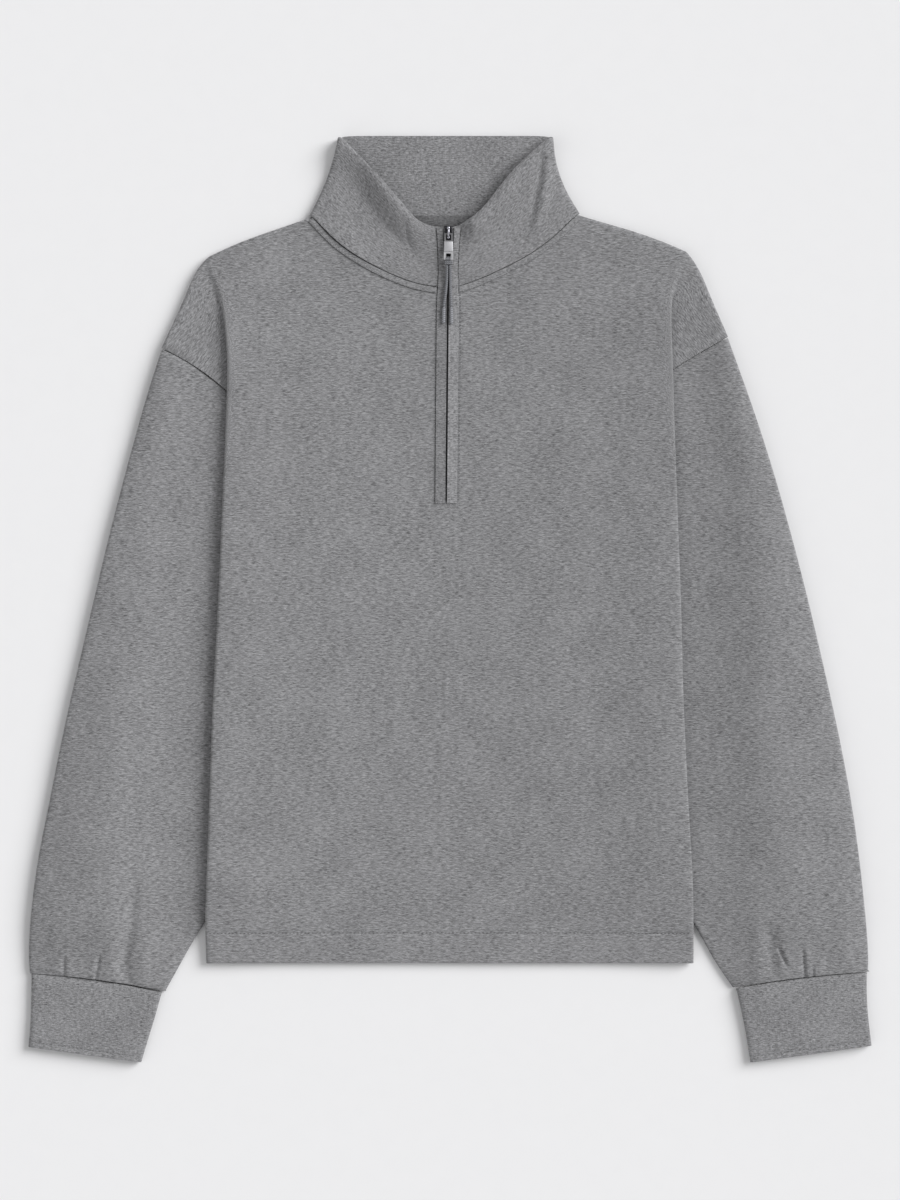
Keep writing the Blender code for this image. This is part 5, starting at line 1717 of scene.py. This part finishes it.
def joined(name, parts, finish, slot, body, nodes, frame_of):
    """Parts made in millimetres, moved into place by a plane's own directions and joined."""
    bpy.ops.object.select_all(action="DESELECT")
    for part in parts:
        part.select_set(True)
    bpy.context.view_layer.objects.active = parts[0]
    bpy.ops.object.join()
    made = bpy.context.object
    for vertex in made.data.vertices:
        vertex.co = [value * MM for value in frame_of(*vertex.co)]
    mesh = made.data
    mesh.materials.clear()
    bpy.data.objects.remove(made)
    return new_piece(name, mesh, finish, slot, body, nodes)


# The bridge: distances along the slider from its pivot, and heights above the plate.
BRIDGE_ROUTE = (
    (4.6, 0.3), (4.5, 1.2), (3.9, 2.1), (2.8, 2.5), (1.0, 2.65), (-0.8, 2.55), (-1.8, 2.1), (-2.4, 1.2),
    (-2.6, 0.2),
)
BRIDGE_RADIUS = 0.85


def bridge_part():
    """The slider's bridge: a bar from the knob at the top, over the tab's ring and down to its foot."""
    bpy.ops.object.select_all(action="DESELECT")
    bpy.ops.curve.primitive_bezier_curve_add()
    obj = bpy.context.object
    curve = obj.data
    curve.splines.clear()
    spline = curve.splines.new("POLY")
    spline.points.add(len(BRIDGE_ROUTE) - 1)
    for point, (along, up) in zip(spline.points, BRIDGE_ROUTE):
        point.co = (SLIDER_X, along, up, 1)
    curve.dimensions = "3D"
    curve.bevel_depth = BRIDGE_RADIUS
    curve.bevel_resolution = 3
    curve.use_fill_caps = True
    bpy.ops.object.convert(target="MESH")
    return bpy.context.object


def round_part(place, radius, stretch):
    """A small ball, drawn out along the slider."""
    obj = hard_part(bpy.ops.mesh.primitive_uv_sphere_add, (1, stretch, 1), place, radius=radius,
                    segments=20, ring_count=12)
    obj.data.shade_smooth()
    return obj


def build_slider(dark, painted_highlight_metal):
    """The slider: shield-shaped plates with a web between them, and the bridge with its knob and ball."""
    frame_of = slider_frame()
    top = SLIDER_TOP_Y - PIVOT_Y
    middle = top - SLIDER_LENGTH / 2
    web_depth = PLATE + 2 * SEAM_GAP + DOUBLED + TAPE_WALL
    plates = [
        rounded_block((SLIDER_WIDTH - 1.2, SLIDER_LENGTH, PLATE), (SLIDER_X, middle, -PLATE / 2), 0.55),
        rounded_block((SLIDER_WIDTH, SLIDER_LENGTH, 1.0),
                      (SLIDER_X, middle, -PLATE - 2 * SEAM_GAP - DOUBLED - TAPE_WALL - 0.9), 0.35),
        rounded_block((1.6, 7.4, web_depth), (SLIDER_X, middle + 1.5, -web_depth / 2 - 0.6), 0.3),
        rounded_block((1.2, 5.6, 1.5), (SLIDER_X - 2.3, 3.2, 0.3), 0.45, 0.8),
        rounded_block((1.2, 5.6, 1.5), (SLIDER_X + 2.3, 3.2, 0.3), 0.45, 0.8),
    ]
    joined("slider_body", plates, dark, "gunmetal", "garment", ["zip_slider"], frame_of)
    # The bridge, its knob and its ball take the slider's gunmetal made nine times lighter: a painted highlight.
    bridge = [
        bridge_part(),
        round_part((SLIDER_X, 4.8, 1.6), 1.55, 1.0),
        round_part((SLIDER_X, -2.9, 1.0), 1.25, 1.1),
    ]
    joined("slider_bridge", bridge, painted_highlight_metal, "gunmetal", "garment", [], frame_of)


def tooth_shape():
    """One zip tooth in millimetres: a block with a rounded head."""
    obj = hard_part(bpy.ops.mesh.primitive_cube_add, TOOTH, size=1.0)
    apply_modifier(obj, "BEVEL", width=0.16, segments=1, limit_method="NONE")
    return taken_apart(obj)


def build_teeth(finish):
    """The closed chain: teeth from both sides in turn, up the front and the collar to the slider."""
    shape, shape_faces = tooth_shape()
    points, faces = [], []
    pitch = bpy.context.scene.sweatshirt_sizes.tooth_pitch / MM
    count = int((CHAIN_TOP_Y - CHAIN_FOOT_Y) / pitch)
    for number in range(count):
        y = CHAIN_FOOT_Y + number * pitch
        side = 0.32 if number % 2 else -0.32
        first = len(points)
        for x, along, up in shape:
            points.append((zip_x(y) + side + x, y + along, zip_height(y) + up))
        faces.extend(tuple(first + index for index in face) for face in shape_faces)
    mesh = mesh_of("zip_teeth", points, faces)
    return new_piece("zip_teeth", mesh, finish, "zip_chain", nodes=["zip_chain"])


class Tubes:
    """Round tubes along routes, closed into rings or with closed ends, as one mesh with a map of its own."""

    def __init__(self, around=14):
        self.around = around
        self.points = []
        self.faces = []
        self.uvs = []

    def add(self, route, diameter, ring=False, soften=0.0):
        route = np.asarray(route, float)
        count, around, first = len(route), self.around, len(self.points)
        lengths = np.concatenate([[0], np.cumsum(np.linalg.norm(np.diff(route, axis=0), axis=1))])
        side = None
        for index in range(count):
            before = route[index - 1] if index or ring else route[0]
            after = route[(index + 1) % count] if index < count - 1 or ring else route[-1]
            ahead = (after - before) / np.linalg.norm(after - before)
            if side is None:
                side = np.cross(ahead, (0, 0, 1.0) if abs(ahead[2]) < 0.9 else (1.0, 0, 0))
            side = side - ahead * (side @ ahead)
            side /= np.linalg.norm(side)
            up = np.cross(side, ahead)
            left = 1e9 if ring else min(lengths[index], lengths[-1] - lengths[index])
            radius = diameter / 2 * (1 - soften * max(0.0, 1 - left / (diameter * 0.35)) ** 2)
            for step in range(around):
                angle = 2 * math.pi * step / around
                self.points.append(route[index] + radius * (math.cos(angle) * side + math.sin(angle) * up))
        for index in range(count if ring else count - 1):
            low = first + index * around
            high = first + (index + 1) % count * around
            along = (lengths[index], lengths[index + 1] if index + 1 < count else lengths[-1] + diameter)
            for step in range(around):
                after = (step + 1) % around
                self.faces.append((low + step, high + step, high + after, low + after))
                uvs = ((step, along[0]), (step, along[1]), (step + 1, along[1]), (step + 1, along[0]))
                self.uvs.extend((share / around, length * MM) for share, length in uvs)
        if not ring:
            self.faces.append(tuple(range(first, first + around)))
            self.faces.append(tuple(reversed(range(first + (count - 1) * around, first + count * around))))
            self.uvs.extend([(0.5, 0.0)] * around + [(0.5, lengths[-1] * MM)] * around)

    def piece(self, name, finish, node_name):
        mesh = mesh_of(name, self.points, self.faces)
        layer = mesh.uv_layers.new(name="cord")
        for loop, uv in zip(layer.data, self.uvs):
            loop.uv = uv
        mesh.shade_smooth()
        return new_piece(name, mesh, finish, "cord", "pull", [node_name])


def build_loop(finish):
    """The cord's turns round the tab's bar, and the turns that bind the two strands below it."""
    frame_of = pull_frame()
    low = BAR_Y - PIVOT_Y
    tubes = Tubes()
    for x in (-1.25, 0.0, 1.25):
        ring = []
        for angle in np.linspace(0, 2 * math.pi, 20, endpoint=False):
            ring.append(frame_of(SLIDER_X + x, low + 1.5 * math.cos(angle), 1.5 * math.sin(angle)))
        tubes.add(ring, 1.25, ring=True)
    for down, width in ((2.45, 2.75), (3.75, 2.6)):
        ring = []
        for angle in np.linspace(0, 2 * math.pi, 32, endpoint=False):
            across = width * math.copysign(abs(math.cos(angle)) ** 0.6, math.cos(angle))
            up = 0.75 * math.copysign(abs(math.sin(angle)) ** 0.6, math.sin(angle))
            ring.append(frame_of(SLIDER_X + across, low - down, up))
        tubes.add(ring, 1.45, ring=True)
    for x in (-1.3, 1.3):
        core = [frame_of(SLIDER_X + x, low - down, 0) for down in (1.9, 3.0, 4.3)]
        tubes.add(core, 1.6)
    return tubes.piece("puller_loop", finish, "pull_loop")


def build_strand(strand, finish, tip_finish):
    """One free strand of the puller and its tip."""
    route = smooth_route(strand_route(strand), 1.0)
    tubes = Tubes()
    tubes.add(route, CORD, soften=0.15)
    cord = tubes.piece(f"puller_strand_{strand.name}", finish, f"cord_{strand.name}")
    ends = [np.array((x, y, zip_top(y) + 2.4 * SEAM_GAP + STRIP_WALL + TIP / 2)) for x, y in strand.tip]
    tubes = Tubes()
    tubes.add([mix(ends[0], ends[1], share) for share in np.linspace(0, 1, 18)], TIP, soften=0.35)
    tip = tubes.piece(f"puller_tip_{strand.name}", tip_finish, f"cord_tip_{strand.name}")
    length = np.linalg.norm(np.diff(np.asarray(route), axis=0), axis=1).sum()
    path = [[value * MM for value in point] for point in route]
    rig.cord(cord, path[0], length * MM, CORD * MM, "fitting", stiffness="limp", path=path, with_pieces=[tip])


def strip_line(half, shift, foot, top, count):
    """A line up beside the zip, a little outside the strip's outer edge."""
    heights = np.linspace(foot, top, count)
    return [(half.sign * zip_edge(half, y, 1) + half.sign * shift, y) for y in heights]


def build_stitches(pitch):
    """Every visible stitch row on the finished cloth, and dark thread lines at the strips' edges that are in part
    painted shade.
    """
    # The mid-grey thread draws only the rows below the neck strips: in part stitches, in part painted shade.
    dark = finish_of("grey thread", thread, 0.8)
    pale = finish_of("pale grey thread", thread, 1.35)
    # The dark grey thread sews the hem and cuffs, and draws painted shade at the zip strips' edges.
    dark_thread_and_shade = finish_of("dark grey thread", thread, 0.35)
    front = surface_below(["front_panel"])
    stitch_row("hem_stitches", hem_line(HEM_STITCHES), front, dark_thread_and_shade, pitch, pitch * 0.66, 0.62)
    cloth = surface_below(["front_panel", "stand_collar"])
    strips = surface_below([f"neck_strip_{half.name}_jersey" for half in HALVES])
    for half in HALVES:
        side = half.name
        on_cuff = surface_below([f"cuff_{side}_jersey"])
        shift, tight = (0.1, 1.0) if half is LEFT else (1.2, 0.62)
        rows = (
            (f"cuff_{side}_stitches", cuff_end(half, CUFF_STITCHES), on_cuff, dark_thread_and_shade, 0.6, 0.42),
            (f"zip_{side}_stitches", strip_line(half, 0.7, 80, 300, 56), cloth, pale, 0.68, 0.55),
            (f"neck_{side}_stitches", neck_line(half, NECK_STITCHES), strips, pale, 0.68, 0.5),
            # The edge and fold rows run at the strips' edges, mostly unbroken: in part stitch rows, in part painted
            # shade in the crevice beside each strip.
            (f"zip_{side}_edge", strip_line(half, shift, 80, 262, 40), cloth, dark_thread_and_shade, tight, 0.5),
            (f"zip_{side}_fold", strip_line(half, 0.25, 262, 304.5, 24), cloth, dark_thread_and_shade, 1.0, 0.75),
            (f"neck_{side}_edge", neck_line(half, NECK_STRIP + 0.35), cloth, dark, 0.9, 0.45),
        )
        for name, route, below, finish, share, width in rows:
            stitch_row(name, route, below, finish, pitch, pitch * share, width)


# The cut of each cloth piece: the rectangle it is cut from, in metres, all round on a tube.
Cut = namedtuple("Cut", "piece width length rests_on sewn_on")
CUTS = (
    Cut("back_panel", 0.48, 0.62, ("sleeve_left_jersey", "sleeve_right_jersey"), ()),
    Cut("front_panel", 0.54, 0.62, ("back_panel", "sleeve_left_jersey", "sleeve_right_jersey"),
        ("neck_strip_left_jersey", "neck_strip_right_jersey", "zip_strip_left_jersey",
         "zip_strip_right_jersey")),
    Cut("sleeve_left_jersey", 0.4, 0.53, ("floor",), ()),
    Cut("sleeve_right_jersey", 0.4, 0.53, ("floor",), ()),
    Cut("cuff_left_jersey", 0.22, 0.06, ("floor",), ()),
    Cut("cuff_right_jersey", 0.22, 0.06, ("floor",), ()),
    Cut("stand_collar", 0.53, 0.09, ("floor",), ()),
)


def state_cut():
    """Declares every cloth piece as a sheet; half of its finished surface is the cut's own area."""
    for cut in CUTS:
        obj = bpy.data.objects[cut.piece]
        area = sum(polygon.area for polygon in obj.data.polygons) / 2
        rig.sheet(obj, (cut.width, cut.length), "laid", rests_on=cut.rests_on,
                 area=min(area, cut.width * cut.length), with_pieces=cut.sewn_on)


# The add-on: what a user may change, one operator for each group of pieces, and the panel.


class SweatshirtSizes(bpy.types.PropertyGroup):
    plumpness: FloatProperty(name="Plumpness", description="How much higher than flat the cloth stands",
                             default=1.0, min=0.0, max=1.2, subtype="FACTOR")
    crease_depth: FloatProperty(name="Crease depth", description="Share of the cloth's creases that shows",
                                default=1.0, min=0.0, max=2.0, subtype="FACTOR")
    stitch_pitch: FloatProperty(name="Stitch pitch", description="Distance from one stitch to the next",
                                default=0.0031, min=0.0015, max=0.006, unit="LENGTH", precision=4)
    tooth_pitch: FloatProperty(name="Tooth pitch", description="Distance from one zip tooth to the next",
                               default=0.00078, min=0.0005, max=0.002, unit="LENGTH", precision=5)


class SweatshirtColours(bpy.types.PropertyGroup):
    jersey: FloatVectorProperty(name="Jersey", description="Mean colour of the grey melange jersey",
                                default=(0.23, 0.23, 0.237), subtype="COLOR", min=0, max=1)
    melange: FloatProperty(name="Melange", description="Contrast between the jersey's light and dark fibres",
                           default=0.7, min=0.0, max=1.0, subtype="FACTOR")
    cord: FloatVectorProperty(name="Cord", description="Colour of the puller's cord",
                              default=(0.19, 0.194, 0.21), subtype="COLOR", min=0, max=1)
    tab: FloatVectorProperty(name="Pull tab", description="Colour of the matt silver tab",
                             default=(0.6, 0.6, 0.62), subtype="COLOR", min=0, max=1)
    slider: FloatVectorProperty(name="Slider", description="Colour of the gunmetal slider",
                                default=(0.05, 0.05, 0.055), subtype="COLOR", min=0, max=1)
    floor: FloatVectorProperty(name="Floor", description="Colour of the pale floor",
                               default=(0.82, 0.82, 0.83), subtype="COLOR", min=0, max=1)


def finish_of(name, make, *settings):
    """A material by name, made the first time that a piece asks for it."""
    return bpy.data.materials.get(name) or make(name, *settings)


FINE = (0.15, 0.8, 1.15)
# Tones of the zip strips' jersey: the left one darker as painted shade, the right one lighter as painted light, as if
# the left strip faced away from the window light and the right one towards it.
STRIP_LIGHT_AND_SHADE = (("left", 0.9), ("right", 1.14))


def body_jersey():
    return finish_of("grey melange jersey", jersey)


def fine_jersey(name="grey melange jersey, cuffs and collar", tone=1.0):
    """The jersey of the small pieces: finer, with more fibres across."""
    return finish_of(name, jersey, *FINE, tone)


class SWEATSHIRT_OT_stage(bpy.types.Operator):
    """Lay the pale floor, and set the camera above the garment and the soft light from the upper right"""
    bl_idname = "sweatshirt.stage"
    bl_label = "Stage"

    def execute(self, context):
        colour = context.scene.sweatshirt_colours.floor
        floor = hard_part(bpy.ops.mesh.primitive_plane_add, place=(0, 0, -0.0004), size=12.0)
        floor.name = "floor"
        made, tree, shader = new_material("pale paper floor")
        grain = shade_between(tree, speckle(tree, 60.0, 2.0), toned(colour, 0.99), toned(colour, 1.01))
        connect(tree, shader, Base_Color=grain, Roughness=1.0, Specular_IOR_Level=0.0)
        floor.data.materials.append(made)
        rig.stage(floor)

        camera = bpy.data.cameras.new("overhead")
        above = bpy.data.objects.new("overhead", camera)
        above.location = (0, -0.00082, CAMERA_HEIGHT)
        camera.lens = camera.sensor_width * CAMERA_HEIGHT / PICTURE_HEIGHT
        camera.clip_end = 50
        context.scene.collection.objects.link(above)
        context.scene.camera = above

        for name, strength, spread, direction in LIGHTS:
            sun = bpy.data.lights.new(name, "SUN")
            sun.energy = strength
            sun.angle = math.radians(spread)
            lamp = bpy.data.objects.new(name, sun)
            lamp.rotation_mode = "QUATERNION"
            lamp.rotation_quaternion = Vector(direction).to_track_quat("Z", "Y")
            context.scene.collection.objects.link(lamp)
        world = context.scene.world or bpy.data.worlds.new("room")
        context.scene.world = world
        world.use_nodes = True
        sky = world.node_tree.nodes["Background"]
        sky.inputs["Color"].default_value = (1.0, 1.0, 1.0, 1.0)
        sky.inputs["Strength"].default_value = ROOM_LIGHT
        context.scene.view_settings.view_transform = "Standard"
        return {"FINISHED"}


class SWEATSHIRT_OT_puller(bpy.types.Operator):
    """Make the cord puller: its loop round the tab, the bound knot, two free strands and their tips"""
    bl_idname = "sweatshirt.puller"
    bl_label = "Cord puller"

    def execute(self, context):
        colour = context.scene.sweatshirt_colours.cord
        cord_finish = finish_of("grey cord", braided, colour)
        tip_finish = finish_of("cord tip", braided, toned(colour, 1.35))
        build_loop(cord_finish)
        for strand in STRANDS:
            build_strand(strand, cord_finish, tip_finish)
        return {"FINISHED"}


class SWEATSHIRT_OT_body(bpy.types.Operator):
    """Make the front and back panels"""
    bl_idname = "sweatshirt.body"
    bl_label = "Front and back"

    def execute(self, context):
        build_front(body_jersey())
        # The back's second finish is painted shade inside the neck.
        build_back(body_jersey(), fine_jersey("inside of the neck", 0.62))
        return {"FINISHED"}


class SWEATSHIRT_OT_sleeves(bpy.types.Operator):
    """Make the sleeves and their cuffs"""
    bl_idname = "sweatshirt.sleeves"
    bl_label = "Sleeves and cuffs"

    def execute(self, context):
        for half in HALVES:
            build_sleeve(half, body_jersey())
            build_cuff(half, fine_jersey())
        return {"FINISHED"}


class SWEATSHIRT_OT_collar(bpy.types.Operator):
    """Make the stand collar and the strips below it and beside the zip"""
    bl_idname = "sweatshirt.collar"
    bl_label = "Collar and strips"

    def execute(self, context):
        build_collar(fine_jersey())
        # A darker and a lighter copy of the fine jersey: painted shade and painted light on the zip strips.
        beside_zip = [fine_jersey(f"placket jersey, {name}", tone) for name, tone in STRIP_LIGHT_AND_SHADE]
        build_strips(fine_jersey(), beside_zip)
        return {"FINISHED"}


class SWEATSHIRT_OT_zip(bpy.types.Operator):
    """Finish the zip: its tapes, teeth, slider and pull tab"""
    bl_idname = "sweatshirt.zip"
    bl_label = "Zip"

    def execute(self, context):
        colours = context.scene.sweatshirt_colours
        tape_finish = finish_of("dark woven tape", woven_tape, (0.045, 0.045, 0.05))
        build_teeth(finish_of("dark zip teeth", metal, (0.13, 0.13, 0.135), 0.42))
        for half in HALVES:
            repaint(f"zip_tape_{half.name}", tape_finish, "zip_tape")
        # The bridge's metal is the slider's colour lightened ninefold: a painted highlight.
        build_slider(finish_of("gunmetal slider", metal, colours.slider, 0.3),
                     finish_of("polished gunmetal", metal, toned(colours.slider, 9), 0.25))
        # The ring's darker silver is painted shade.
        build_tab(finish_of("matt silver", metal, colours.tab, 0.5),
                  finish_of("darker silver", metal, toned(colours.tab, 0.45), 0.4))
        return {"FINISHED"}


class SWEATSHIRT_OT_stitches(bpy.types.Operator):
    """Sew the visible stitch rows on the finished cloth"""
    bl_idname = "sweatshirt.stitches"
    bl_label = "Stitches"

    def execute(self, context):
        build_stitches(context.scene.sweatshirt_sizes.stitch_pitch / MM)
        return {"FINISHED"}


class SWEATSHIRT_OT_cut(bpy.types.Operator):
    """State the flat cut of each cloth piece"""
    bl_idname = "sweatshirt.cut"
    bl_label = "Cut sizes"

    def execute(self, context):
        state_cut()
        return {"FINISHED"}


OPERATORS = (SWEATSHIRT_OT_stage, SWEATSHIRT_OT_puller, SWEATSHIRT_OT_body, SWEATSHIRT_OT_sleeves,
             SWEATSHIRT_OT_collar, SWEATSHIRT_OT_zip, SWEATSHIRT_OT_stitches, SWEATSHIRT_OT_cut)


class SWEATSHIRT_PT_panel(bpy.types.Panel):
    """Sizes, colours and the build steps of the sweatshirt"""
    bl_idname = "SWEATSHIRT_PT_panel"
    bl_label = "Half-zip sweatshirt"
    bl_space_type = "VIEW_3D"
    bl_region_type = "UI"
    bl_category = "Sweatshirt"

    def draw(self, context):
        for group in (context.scene.sweatshirt_sizes, context.scene.sweatshirt_colours):
            for name in group.__annotations__:
                self.layout.prop(group, name)
        for operator in OPERATORS:
            self.layout.operator(operator.bl_idname)


CLASSES = (SweatshirtSizes, SweatshirtColours, *OPERATORS, SWEATSHIRT_PT_panel)


def register():
    for one in CLASSES:
        bpy.utils.register_class(one)
    bpy.types.Scene.sweatshirt_sizes = PointerProperty(type=SweatshirtSizes)
    bpy.types.Scene.sweatshirt_colours = PointerProperty(type=SweatshirtColours)


def unregister():
    del bpy.types.Scene.sweatshirt_colours
    del bpy.types.Scene.sweatshirt_sizes
    for one in reversed(CLASSES):
        bpy.utils.unregister_class(one)


def main():
    register()
    bpy.ops.sweatshirt.stage()
    bpy.ops.sweatshirt.puller()
    bpy.ops.sweatshirt.body()
    bpy.ops.sweatshirt.sleeves()
    bpy.ops.sweatshirt.collar()
    bpy.ops.sweatshirt.zip()
    bpy.ops.sweatshirt.stitches()
    bpy.ops.sweatshirt.cut()
    sizes = {"cad": CAD_BOX, "visual": [list(corner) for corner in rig.bounds()]}
    with open("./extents.json", "w") as file:
        json.dump(sizes, file, indent=1)


if __name__ == "__main__":
    main()
